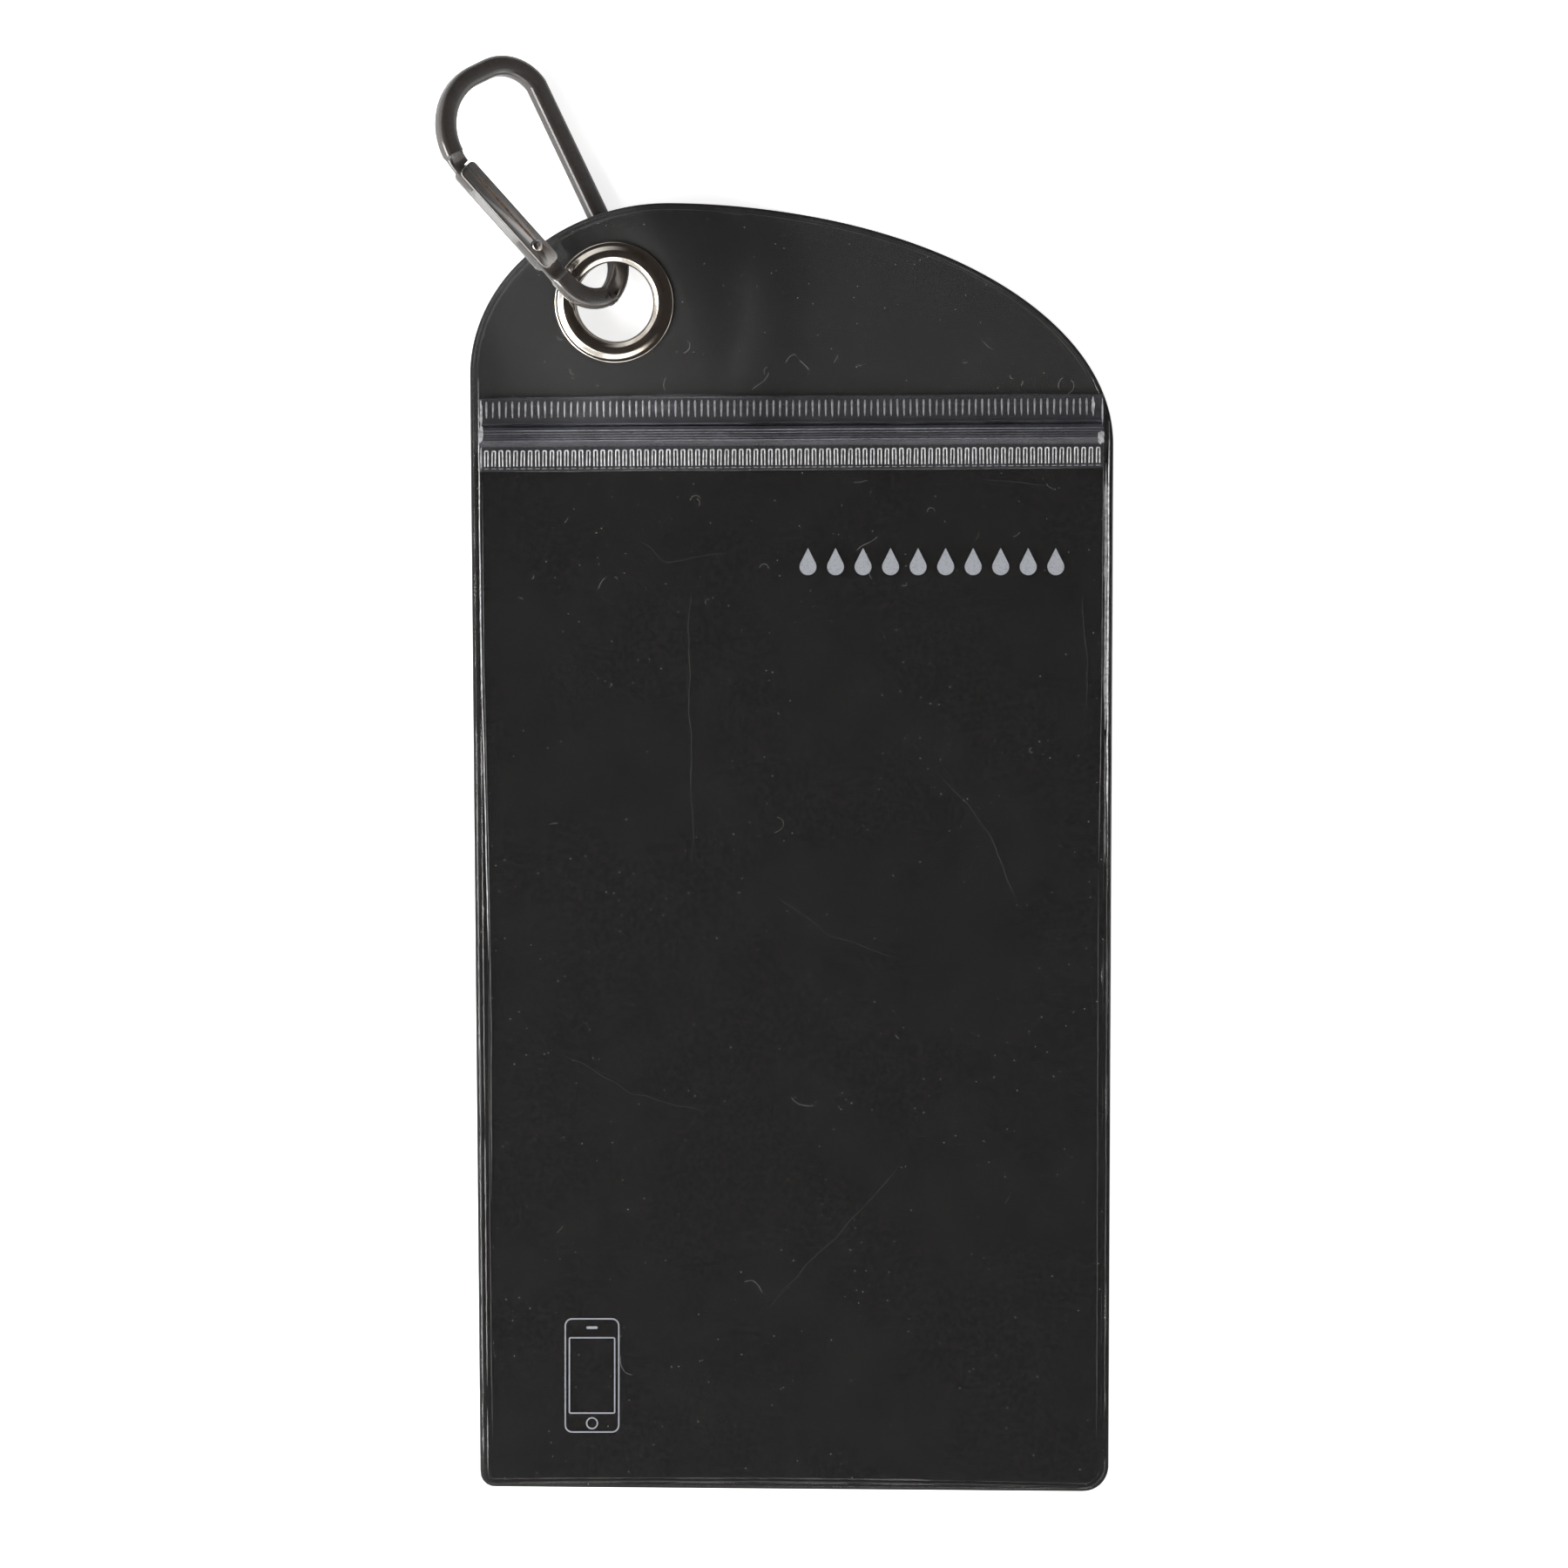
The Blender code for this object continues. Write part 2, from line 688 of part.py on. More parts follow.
def make_hook():
    black = make_material("black_anodised")
    bright = make_material("bright_steel")
    foot_point = EYELET_CENTRE + ACROSS * SPINE_OFFSET - ALONG * FOOT_SHORT_OF_CENTRE
    plan = Matrix.Rotation(SPINE_ANGLE, 4, "Z")
    tilt = Matrix.Rotation(-HOOK_TILT, 4, "X")
    hook = bpy.data.objects.new("hook_frame", None)
    bpy.context.scene.collection.objects.link(hook)
    hook.matrix_world = Matrix.Translation((*foot_point, SPINE_HEIGHT)) @ plan @ tilt
    body = new_object("carabiner_body", finish_mesh(loft(hook_rings()), "carabiner_body"), black, hook)
    smooth(body)

    _, pin, _, direction = gate_points()
    pivot = bpy.data.objects.new("gate_frame", None)
    bpy.context.scene.collection.objects.link(pivot)
    pivot.parent = hook
    gate_angle = math.atan2(direction.y, direction.x)
    pivot.matrix_local = Matrix.Translation((pin.x, pin.y, 0)) @ Matrix.Rotation(gate_angle, 4, "Z")
    gate = make_gate(bright, pivot)
    form = bmesh.new()
    hole = RIVET_RADIUS + RIVET_GAP
    bmesh.ops.create_cone(
        form,
        cap_ends=True,
        segments=RIVET_SEGMENTS,
        radius1=hole,
        radius2=hole,
        depth=GATE_DEPTH + 2 * OVERRUN,
    )
    drill = make_cutter("pin_drill", form, pivot)
    cut(body, drill)
    cut(gate, drill)
    rivet = new_object("gate_rivet", finish_mesh(rivet_form(), "gate_rivet"), bright, pivot)
    smooth(rivet)
    make_spring(bright, pivot)


def box_form(low, high):
    form = bmesh.new()
    size = Vector(high) - Vector(low)
    middle = (Vector(high) + Vector(low)) / 2
    bmesh.ops.create_cube(form, size=1.0, matrix=Matrix.Translation(middle) @ Matrix.Diagonal((*size, 1)))
    return form


def make_gate(material, pivot):
    # In the pin's frame: x along the gate towards the nose, y across with the spine's side negative
    start = -RIVET_FROM_END
    end = GATE_LENGTH - RIVET_FROM_END
    half_width = GATE_WIDTH / 2
    half_depth = GATE_DEPTH / 2
    outline = []
    for x, y, first in (
        (end, half_width, 0.0),
        (start, half_width, 0.5 * math.pi),
        (start, -half_width, math.pi),
        (end, -half_width, 1.5 * math.pi),
    ):
        radius = GATE_END_RADIUS
        middle = (x - math.copysign(radius, x), y - math.copysign(radius, y))
        outline += arc(middle, radius, radius, first, first + 0.5 * math.pi, GATE_END_STEPS)
    rings = [[(x, y, z) for x, y in outline] for z in (-half_depth, half_depth)]
    gate = new_object("carabiner_gate", finish_mesh(loft(rings), "carabiner_gate"), material, pivot)
    inner = half_depth - GATE_WALL
    past_start = start - OVERRUN
    past_side = half_width + OVERRUN
    slot = box_form((past_start, -half_width + GATE_WALL, -inner), (end + OVERRUN, past_side, inner))
    cut(gate, make_cutter("gate_slot", slot, pivot))
    # The web stops short of the pin, so that the hinge tongue passes it as the gate opens
    notch = box_form((past_start, -past_side, -inner), (-RIVET_RADIUS, half_width, inner))
    cut(gate, make_cutter("gate_notch", notch, pivot))
    return gate


def round_ring(radius, height):
    ring = []
    for step in range(RIVET_SEGMENTS):
        angle = 2 * math.pi * step / RIVET_SEGMENTS
        ring.append((radius * math.cos(angle), radius * math.sin(angle), height))
    return ring


def rivet_form():
    # From the top of the domed head, down the shank, to the bottom of the other head
    half = GATE_DEPTH / 2 + RIVET_GAP
    upper = []
    for step in range(1, RIVET_HEAD_STEPS + 1):
        angle = 0.5 * math.pi * step / RIVET_HEAD_STEPS
        upper.append((RIVET_HEAD_RADIUS * math.sin(angle), half + RIVET_HEAD_HEIGHT * math.cos(angle)))
    upper.append((RIVET_RADIUS, half))
    lower = [(radius, -height) for radius, height in reversed(upper)]
    return loft([round_ring(radius, height) for radius, height in upper + lower])


def make_spring(material, pivot):
    # A wire that lies along the gate's web, with its foot on the hinge tongue's tip
    web = -GATE_WIDTH / 2 + GATE_WALL
    start_x = HINGE_TONGUE - RIVET_FROM_END + GATE_GAP + SPRING_WIRE
    middle_y = web + SPRING_WIRE + GATE_GAP
    rings = []
    for step in range(SPRING_STEPS + 1):
        share = step / SPRING_STEPS
        x = start_x + SPRING_LENGTH * share
        y = middle_y + SPRING_BOW * (1 - share) ** 2
        ring = []
        for corner in range(WIRE_SEGMENTS):
            angle = 2 * math.pi * corner / WIRE_SEGMENTS
            ring.append((x, y + SPRING_WIRE * math.cos(angle), SPRING_WIRE * math.sin(angle)))
        rings.append(ring)
    new_object("gate_spring", finish_mesh(loft(rings), "gate_spring"), material, pivot)


clear_scene()
clear_material = make_films()
make_zip(clear_material)
make_eyelet()
make_hook()
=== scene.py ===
# Splashproof phone pouch: its films, zip, print, eyelet and snap hook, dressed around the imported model
import json
import math
import random

import bmesh
import bpy
import numpy as np
from mathutils import Matrix, Vector, noise
from mathutils.geometry import delaunay_2d_cdt


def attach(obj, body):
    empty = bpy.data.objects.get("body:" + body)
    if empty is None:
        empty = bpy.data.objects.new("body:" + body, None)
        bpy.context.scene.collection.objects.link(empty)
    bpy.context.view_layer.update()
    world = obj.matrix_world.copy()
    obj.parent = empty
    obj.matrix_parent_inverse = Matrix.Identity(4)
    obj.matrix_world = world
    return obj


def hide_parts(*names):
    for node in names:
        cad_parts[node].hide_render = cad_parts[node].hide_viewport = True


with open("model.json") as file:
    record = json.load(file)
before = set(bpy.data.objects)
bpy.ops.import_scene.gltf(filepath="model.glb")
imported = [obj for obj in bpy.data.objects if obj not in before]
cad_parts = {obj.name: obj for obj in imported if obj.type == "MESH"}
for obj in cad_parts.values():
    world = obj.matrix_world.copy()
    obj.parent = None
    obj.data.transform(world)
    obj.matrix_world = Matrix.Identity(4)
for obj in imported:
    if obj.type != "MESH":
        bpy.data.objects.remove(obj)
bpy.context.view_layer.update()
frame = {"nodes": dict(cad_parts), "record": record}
nodes = frame["nodes"]
print("frame loaded:", len(nodes), "nodes")

mm = 0.001

# outline of the pouch and its two layers of film
pouch = {
    "length": 211.6 * mm,
    "width": 106.2 * mm,
    "leftTaper": 1.7 * mm,
    "rightTaper": 0.8 * mm,
    "footSag": 0.55 * mm,
    "footLevelX": -21.4 * mm,
    "leftCorner": 2.4 * mm,
    "rightCorner": 4.2 * mm,
    "apexFromLeft": 33.1 * mm,
    "domeDropLeft": 28.2 * mm,
    "domeDropRight": 39.6 * mm,
    "film": 0.25 * mm,
    "frontLow": 0.5 * mm,
    "frontInset": 0.4 * mm,
}

# eyelet, and how the header lies over the hook's spine around it
eyelet = {
    "x": -29.1 * mm,
    "y": 89.5 * mm,
    "height": 4.8012 * mm,
    "tilt": math.radians(12),
    "spineAngle": math.radians(-64.8),
    "flatRadius": 10.56 * mm,
    "drapeReach": 34 * mm,
    "holeRadius": 7.15 * mm,
}
eyeletCentre = np.array([eyelet["x"], eyelet["y"]])

# zip: its middle line, and how far its strips reach to each side
zipper = {
    "y": 68.0 * mm,
    "slope": 0.0063,
    "sideInset": 1.6 * mm,
    "flangeReach": 6.0 * mm,
    "headerOverlap": 2.3 * mm,
    "windowOverlap": 3.0 * mm,
}

along = Vector((math.cos(eyelet["spineAngle"]), math.sin(eyelet["spineAngle"]), 0))
across = Vector((-along.y, along.x, 0))


def smoothStep(value):
    value = np.clip(value, 0, 1)
    return value * value * (3 - 2 * value)


def bump(value, middle, width):
    return np.exp(-(((value - middle) / width) ** 2))


def liftAt(x, y):
    # height of the back film's underside over the floor
    dx = x - eyelet["x"]
    dy = y - eyelet["y"]
    flat = eyelet["flatRadius"]
    rise = np.minimum(dx * across.x + dy * across.y, flat)
    plane = np.maximum(eyelet["height"] + math.tan(eyelet["tilt"]) * rise, 0)
    return plane * (1 - smoothStep((np.hypot(dx, dy) - flat) / (eyelet["drapeReach"] - flat)))


def zipLine(x):
    return zipper["y"] + zipper["slope"] * x


def sideAt(y, right):
    # x of the pouch's left or right edge below the dome
    drop = pouch["domeDropRight"] if right else pouch["domeDropLeft"]
    taper = pouch["rightTaper"] if right else -pouch["leftTaper"]
    top = pouch["length"] / 2
    share = max((top - drop - y) / (2 * top - drop), 0)
    return (pouch["width"] / 2 if right else -pouch["width"] / 2) - taper * share


def footEdge(x):
    return -pouch["length"] / 2 - pouch["footSag"] * ((x - pouch["footLevelX"]) / (pouch["width"] / 2)) ** 2


def arcPoints(x, y, radiusX, radiusY, start, end, count=40):
    angles = [start + (end - start) * step / count for step in range(count + 1)]
    return [(x + radiusX * math.cos(a), y + radiusY * math.sin(a)) for a in angles]


def evenly(points, spacing, closed=True):
    # the same line with points at an even spacing
    points = np.array(points)
    if closed:
        points = np.vstack([points, points[:1]])
    steps = np.hypot(*np.diff(points, axis=0).T)
    travelled = np.concatenate([[0], np.cumsum(steps)])
    count = max(2, round(travelled[-1] / spacing))
    places = np.linspace(0, travelled[-1], count + 1)
    if closed:
        places = places[:-1]
    return np.column_stack([np.interp(places, travelled, points[:, axis]) for axis in (0, 1)])


def edgeLoop(spacing):
    # anticlockwise, from the foot's left corner
    top = pouch["length"] / 2
    left, right = sideAt(-top, False), sideAt(-top, True)
    small, large = pouch["leftCorner"], pouch["rightCorner"]
    apex = pouch["apexFromLeft"] - pouch["width"] / 2
    quarter = math.pi / 2
    loop = arcPoints(left + small, footEdge(left + small) + small, small, small, math.pi, 3 * quarter)
    loop += [(x, footEdge(x)) for x in np.linspace(left + small, right - large, 40)[1:-1]]
    loop += arcPoints(right - large, footEdge(right - large) + large, large, large, -quarter, 0)
    dropRight, dropLeft = pouch["domeDropRight"], pouch["domeDropLeft"]
    loop += arcPoints(apex, top - dropRight, pouch["width"] / 2 - apex, dropRight, 0, quarter, 120)
    loop += arcPoints(apex, top - dropLeft, pouch["apexFromLeft"], dropLeft, quarter, math.pi, 90)[1:]
    return evenly(loop, spacing)


def insetLoop(loop, inset):
    direction = np.roll(loop, -1, axis=0) - np.roll(loop, 1, axis=0)
    direction /= np.hypot(*direction.T)[:, None]
    return loop + inset * np.column_stack([-direction[:, 1], direction[:, 0]])


def clipLoop(loop, height):
    # keeps the points where height is positive, and the places where it crosses zero
    kept = []
    for index in range(len(loop)):
        before, here = loop[index - 1], loop[index]
        low, high = height(*before), height(*here)
        if (low > 0) != (high > 0):
            kept.append(before + (here - before) * low / (low - high))
        if high > 0:
            kept.append(here)
    return np.array(kept)


def edgeDistance(points, loop):
    steps = np.roll(loop, -1, axis=0) - loop
    squares = (steps**2).sum(1)
    distances = np.empty(len(points))
    for first in range(0, len(points), 1500):
        apart = points[first : first + 1500, None, :] - loop
        share = np.clip((apart * steps).sum(2) / squares, 0, 1)
        distances[first : first + 1500] = np.sqrt(((apart - share[..., None] * steps) ** 2).sum(2).min(1))
    return distances


def isInside(points, loop):
    inside = np.zeros(len(points), bool)
    for (ax, ay), (bx, by) in zip(loop, np.roll(loop, -1, axis=0)):
        spans = (ay > points[:, 1]) != (by > points[:, 1])
        if spans.any():
            inside ^= spans & (points[:, 0] < ax + (points[:, 1] - ay) * (bx - ax) / (by - ay))
    return inside


def wander(points, size, seed):
    # a slow random value from -1 to 1 at each point, the same in every run
    return np.array([noise.noise(Vector((x / size, y / size, seed))) for x, y in points])


def fromEyelet(points):
    return np.hypot(*(points - eyeletCentre).T)


def roundEyelet(radius, start=0.0, turns=1):
    angles = np.linspace(0, turns * 2 * math.pi, 97)[:-1] + start
    return eyeletCentre + radius * np.column_stack([np.cos(angles), np.sin(angles)])


outerLoop = edgeLoop(0.8 * mm)
leftEnd = sideAt(zipper["y"], False) + zipper["sideInset"]
rightEnd = sideAt(zipper["y"], True) - zipper["sideInset"]


def linkObject(name, mesh, material):
    item = bpy.data.objects.new(name, mesh)
    bpy.context.scene.collection.objects.link(item)
    mesh.materials.clear()
    mesh.materials.append(material)
    return item


def softShade(mesh, angle=40):
    mesh.shade_smooth()
    mesh.set_sharp_from_angle(angle=math.radians(angle))


def finishPiece(item, body, slot, *replaced):
    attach(item, body)
    if replaced:
        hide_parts(*replaced)
    return item


# Shader building

def put(tree, kind, inputs=None, **settings):
    # adds a node; an input takes a value, or a socket to be linked from
    node = tree.nodes.new(kind)
    for name, value in settings.items():
        setattr(node, name, value)
    for name, value in (inputs or {}).items():
        if isinstance(value, bpy.types.NodeSocket):
            tree.links.new(value, node.inputs[name])
        else:
            node.inputs[name].default_value = value
    return node


def newGroup(name, kind, inputs, outputs):
    tree = bpy.data.node_groups.new(name, kind)
    for direction, sockets in (("INPUT", inputs), ("OUTPUT", outputs)):
        for label, socketKind, value in sockets:
            socket = tree.interface.new_socket(label, in_out=direction, socket_type=socketKind)
            if value is not None:
                socket.default_value = value
    return tree, tree.nodes.new("NodeGroupInput"), tree.nodes.new("NodeGroupOutput")


def useGroup(tree, group, **inputs):
    node = tree.nodes.new("ShaderNodeGroup")
    node.node_tree = group
    for name, value in inputs.items():
        node.inputs[name.replace("_", " ")].default_value = value
    return node.outputs


def mixed(tree, factor, first, second):
    return put(tree, "ShaderNodeMix", {"Factor": factor, 6: first, 7: second}, data_type="RGBA").outputs[2]


def ranged(tree, value, low, high, toLow=0.0, toHigh=1.0):
    sockets = {"Value": value, "From Min": low, "From Max": high, "To Min": toLow, "To Max": toHigh}
    return put(tree, "ShaderNodeMapRange", sockets, interpolation_type="SMOOTHSTEP").outputs[0]


def calculated(tree, operation, first, second):
    return put(tree, "ShaderNodeMath", {0: first, 1: second}, operation=operation).outputs[0]


def objectPlace(tree):
    return put(tree, "ShaderNodeTexCoord").outputs["Object"]


def noisy(tree, place, scale, detail=2.0, **more):
    sockets = {"Vector": place, "Scale": scale, "Detail": detail, **more}
    return put(tree, "ShaderNodeTexNoise", sockets).outputs[0]


def makeHandlingGroup():
    # fine scratches in three directions, soft smudges, and a height for bump
    number = "NodeSocketFloat"
    inputs = [("Scratch Width", number, 0.02), ("Smudge Size", number, 60.0)]
    outputs = [(label, number, None) for label in ("Scratches", "Smudges", "Height")]
    tree, given, made = newGroup("handlingWear", "ShaderNodeTree", inputs, outputs)
    place = objectPlace(tree)
    layers = []
    for turn, stretch in ((0.5, (900, 18, 900)), (2.2, (700, 14, 700)), (1.4, (1100, 26, 1100))):
        turned = put(tree, "ShaderNodeMapping", {"Vector": place, "Rotation": (0, 0, turn), "Scale": stretch})
        away = calculated(tree, "SUBTRACT", noisy(tree, turned.outputs[0], 1.0, 1.0), 0.5)
        near = calculated(tree, "ABSOLUTE", away, 0.0)
        sockets = {"Value": near, "From Min": given.outputs["Scratch Width"], "From Max": 0.0}
        line = put(tree, "ShaderNodeMapRange", sockets).outputs[0]
        broken = ranged(tree, noisy(tree, place, 140.0 + 60 * turn), 0.50, 0.78)
        layers.append(calculated(tree, "MULTIPLY", line, broken))
    scratches = calculated(tree, "MAXIMUM", calculated(tree, "MAXIMUM", layers[0], layers[1]), layers[2])
    grain = calculated(tree, "MULTIPLY", noisy(tree, place, 2500.0), 0.25)
    tree.links.new(scratches, made.inputs["Scratches"])
    tree.links.new(noisy(tree, place, given.outputs["Smudge Size"], 5.0), made.inputs["Smudges"])
    tree.links.new(calculated(tree, "ADD", grain, scratches), made.inputs["Height"])
    return tree


def makeDrawnGrain():
    # the long fine lines of drawn or rolled metal, along a direction in plan
    number = "NodeSocketFloat"
    inputs = [("Turn", number, 0.0), ("Fineness", number, 1.0)]
    tree, given, made = newGroup("drawnGrain", "ShaderNodeTree", inputs, [("Lines", number, None)])
    angle = put(tree, "ShaderNodeCombineXYZ", {"Z": given.outputs["Turn"]}).outputs[0]
    sockets = {"Vector": objectPlace(tree), "Rotation": angle}
    turned = put(tree, "ShaderNodeVectorRotate", sockets, rotation_type="EULER_XYZ").outputs[0]
    stretched = put(tree, "ShaderNodeMapping", {"Vector": turned, "Scale": (120, 7000, 200)}).outputs[0]
    tree.links.new(noisy(tree, stretched, given.outputs["Fineness"], 3.0), made.inputs["Lines"])
    return tree


handlingWear = makeHandlingGroup()
drawnGrain = makeDrawnGrain()


def newMaterial(name, roughness, metallic=0.0, **constants):
    material = bpy.data.materials.new(name)
    material.use_nodes = True
    tree = material.node_tree
    shader = tree.nodes["Principled BSDF"]
    shader.inputs["Roughness"].default_value = roughness
    shader.inputs["Metallic"].default_value = metallic
    for label, value in constants.items():
        shader.inputs[label.replace("_", " ")].default_value = value
    return material, tree, shader


def roughen(tree, shader, height, strength, distance):
    relief = put(tree, "ShaderNodeBump", {"Height": height, "Strength": strength, "Distance": distance})
    tree.links.new(relief.outputs[0], shader.inputs["Normal"])


def colourBetween(tree, shader, factor, first, second):
    tree.links.new(mixed(tree, factor, (*first, 1), (*second, 1)), shader.inputs["Base Color"])


def glossBy(tree, shader, value, low, high, smoothest, roughest):
    tree.links.new(ranged(tree, value, low, high, smoothest, roughest), shader.inputs["Roughness"])


filmLooks = {
    "backColour": (0.0350, 0.0345, 0.0348),
    "backGrain": (0.0465, 0.0460, 0.0463),
    "clearTint": (0.94, 0.94, 0.94),
    "clearScratch": (1.0, 1.0, 1.0),
    "zipClear": (0.50, 0.50, 0.54),
    "zipHaze": (0.66, 0.67, 0.74),
    "inkColour": (0.44, 0.46, 0.50),
    "inkWorn": (0.35, 0.37, 0.41),
}

# pressed, melted and loose marks, and painted highlights along the welds, zip ribs and strip edges: colour
# and roughness
markLooks = {
    # painted highlight: light lines along the ridges of the zip's cap
    "zipRibHighlights": ((0.30, 0.31, 0.36), 0.3),
    # painted highlights: light lines where the weld beads and the strip edges catch the light, in four tones
    "weldBright": ((0.88, 0.88, 0.89), 0.3),
    "weldLight": ((0.46, 0.46, 0.47), 0.3),
    "weldGrey": ((0.20, 0.20, 0.205), 0.3),
    "weldFaint": ((0.070, 0.070, 0.072), 0.4),
    "creases": ((0.056, 0.056, 0.057), 0.4),
    "meltedEnds": ((0.55, 0.55, 0.57), 0.3),
    "pressedTicks": ((0.36, 0.36, 0.37), 0.35),
    "pressedArches": ((0.86, 0.86, 0.87), 0.3),
    "dust": ((0.55, 0.54, 0.52), 0.8),
    "fibres": ((0.42, 0.41, 0.40), 0.7),
    # painted reflection: the warm brown streak along the gate's front plate
    "paintedReflectionStreak": ((0.27, 0.17, 0.11), 0.4),
}

metalLooks = {
    "nickel": (0.72, 0.67, 0.60),
    "nickelTarnish": (0.50, 0.43, 0.36),
    "anodised": (0.072, 0.064, 0.060),
    "anodisedWorn": (0.086, 0.077, 0.072),
    # painted highlight: near-white for the inside of the gate's steel channel
    "channel": (0.95, 0.95, 0.95),
    "cut": (0.15, 0.143, 0.137),
    "steel": (0.50, 0.49, 0.48),
    "steelWarm": (0.42, 0.34, 0.28),
    # painted highlight: near-white for the gate's rounded outer edges
    "edge": (0.96, 0.96, 0.95),
}


def makeBlackFilm():
    material, tree, shader = newMaterial("blackFilm", 0.22, IOR=1.5)
    wear = useGroup(tree, handlingWear, Scratch_Width=0.012, Smudge_Size=22.0)
    fine = ranged(tree, noisy(tree, objectPlace(tree), 1500.0, 4.0, Roughness=0.7), 0.35, 0.65)
    colourBetween(tree, shader, fine, filmLooks["backColour"], filmLooks["backGrain"])
    glossBy(tree, shader, wear["Smudges"], 0.3, 0.8, 0.255, 0.265)
    roughen(tree, shader, wear["Height"], 0.15, 0.04 * mm)
    return material


def makeClearFilm(name, clearness):
    # what isn't let through is a faint haze
    material, tree, shader = newMaterial(name, 0.05, Transmission_Weight=clearness, IOR=1.48)
    wear = useGroup(tree, handlingWear, Scratch_Width=0.010, Smudge_Size=45.0)
    colourBetween(tree, shader, wear["Scratches"], filmLooks["clearTint"], filmLooks["clearScratch"])
    glossBy(tree, shader, wear["Smudges"], 0.35, 0.7, 0.03, 0.10)
    roughen(tree, shader, wear["Height"], 0.10, 0.03 * mm)
    return material


def makeZipFilm(name, clearness):
    material, tree, shader = newMaterial(name, 0.12, Transmission_Weight=clearness, IOR=1.5)
    wear = useGroup(tree, handlingWear, Scratch_Width=0.02, Smudge_Size=120.0)
    colourBetween(tree, shader, wear["Smudges"], filmLooks["zipClear"], filmLooks["zipHaze"])
    glossBy(tree, shader, wear["Smudges"], 0.3, 0.7, 0.10, 0.22)
    roughen(tree, shader, wear["Height"], 0.2, 0.04 * mm)
    return material


def makeMarkMaterial(name, colour, roughness):
    # uneven in tone over a few tenths of a millimetre
    material, tree, shader = newMaterial(name, roughness, IOR=1.48)
    uneven = noisy(tree, objectPlace(tree), 1400.0, 4.0)
    darker = tuple(0.55 * value for value in colour)
    colourBetween(tree, shader, ranged(tree, uneven, 0.35, 0.6), darker, colour)
    roughen(tree, shader, uneven, 0.3, 0.03 * mm)
    return material


def makeInk():
    material, tree, shader = newMaterial("silverInk", 0.45, IOR=1.45)
    mesh = noisy(tree, objectPlace(tree), 3200.0)
    colourBetween(tree, shader, ranged(tree, mesh, 0.3, 0.55), filmLooks["inkWorn"], filmLooks["inkColour"])
    roughen(tree, shader, mesh, 0.25, 0.02 * mm)
    return material


def makeNickel():
    material, tree, shader = newMaterial("nickelPlate", 0.10, 1.0)
    wear = useGroup(tree, handlingWear, Scratch_Width=0.03, Smudge_Size=350.0)
    tarnish = ranged(tree, wear["Smudges"], 0.45, 0.75)
    colourBetween(tree, shader, tarnish, metalLooks["nickel"], metalLooks["nickelTarnish"])
    glossBy(tree, shader, wear["Smudges"], 0.3, 0.7, 0.07, 0.17)
    roughen(tree, shader, wear["Height"], 0.10, 0.03 * mm)
    return material


def makeAnodised():
    coat = {"Coat_Weight": 1.0, "Coat_Roughness": 0.13, "Coat_IOR": 1.62}
    material, tree, shader = newMaterial("blackAnodised", 0.36, IOR=1.5, **coat)
    wear = useGroup(tree, handlingWear, Scratch_Width=0.03, Smudge_Size=260.0)
    grain = useGroup(tree, drawnGrain, Turn=-eyelet["spineAngle"], Fineness=0.35)["Lines"]
    worn = calculated(tree, "MULTIPLY", ranged(tree, wear["Smudges"], 0.5, 0.72), grain)
    colourBetween(tree, shader, worn, metalLooks["anodised"], metalLooks["anodisedWorn"])
    glossBy(tree, shader, wear["Smudges"], 0.3, 0.7, 0.22, 0.34)
    roughen(tree, shader, calculated(tree, "ADD", wear["Height"], grain), 0.06, 0.03 * mm)
    return material


def makeSteel(name, turn, bright, warmTone, smoothest, roughest, metallic=1.0):
    material, tree, shader = newMaterial(name, 0.2, metallic)
    wear = useGroup(tree, handlingWear, Scratch_Width=0.04, Smudge_Size=500.0)
    grain = useGroup(tree, drawnGrain, Turn=-turn, Fineness=0.6)["Lines"]
    warm = calculated(tree, "MULTIPLY", ranged(tree, wear["Smudges"], 0.5, 0.65), grain)
    colourBetween(tree, shader, warm, metalLooks[bright], metalLooks[warmTone])
    glossBy(tree, shader, grain, 0.3, 0.7, smoothest, roughest)
    roughen(tree, shader, calculated(tree, "ADD", wear["Height"], grain), 0.05, 0.04 * mm)
    return material


blackFilm = makeBlackFilm()
clearFilm = makeClearFilm("clearFilm", 0.999)
headerClear = makeClearFilm("headerClear", 0.984)
zipFilm = makeZipFilm("zipFilm", 0.94)
zipRibs = makeZipFilm("zipRibs", 0.945)
marked = {name: makeMarkMaterial(name, *look) for name, look in markLooks.items()}
silverInk = makeInk()
nickelPlate = makeNickel()
blackAnodised = makeAnodised()
gateAngle = math.radians(-48.1)
brightSteel = makeSteel("brightSteel", gateAngle, "steel", "steelWarm", 0.20, 0.28)
# the channel's inside: near-white and dull, a painted highlight
channelHighlightSteel = makeSteel("channelHighlightSteel", gateAngle, "channel", "channel", 0.45, 0.60, 0.0)
# the gate's rounded outer edges: near white, a painted highlight
edgeHighlightSteel = makeSteel("edgeHighlightSteel", gateAngle, "edge", "edge", 0.35, 0.45, 0.12)
cutSteel = makeSteel("cutSteel", 0.4, "cut", "anodisedWorn", 0.30, 0.45)
print("materials made:", len(bpy.data.materials))

# Films

film = {
    "gridStep": 1.7 * mm,
    # in millimetres from the edge
    "ringInsets": (
        *(0.1, 0.22, 0.36, 0.5, 0.62, 0.74, 0.88, 1.04),
        *(1.18, 1.3, 1.42, 1.54, 1.66, 1.8, 2.0, 2.3, 2.7),
    ),
    "outerBead": {"inset": 0.62 * mm, "width": 0.13 * mm, "height": 0.05 * mm},
    "innerBead": {"inset": 1.42 * mm, "width": 0.17 * mm, "height": 0.09 * mm},
    "weldDepth": 0.07 * mm,
    "swayHeight": 0.14 * mm,
    "swaySize": 26 * mm,
    "embossRadius": 11.2 * mm,
    "embossWidth": 0.22 * mm,
    "embossHeight": 0.07 * mm,
}


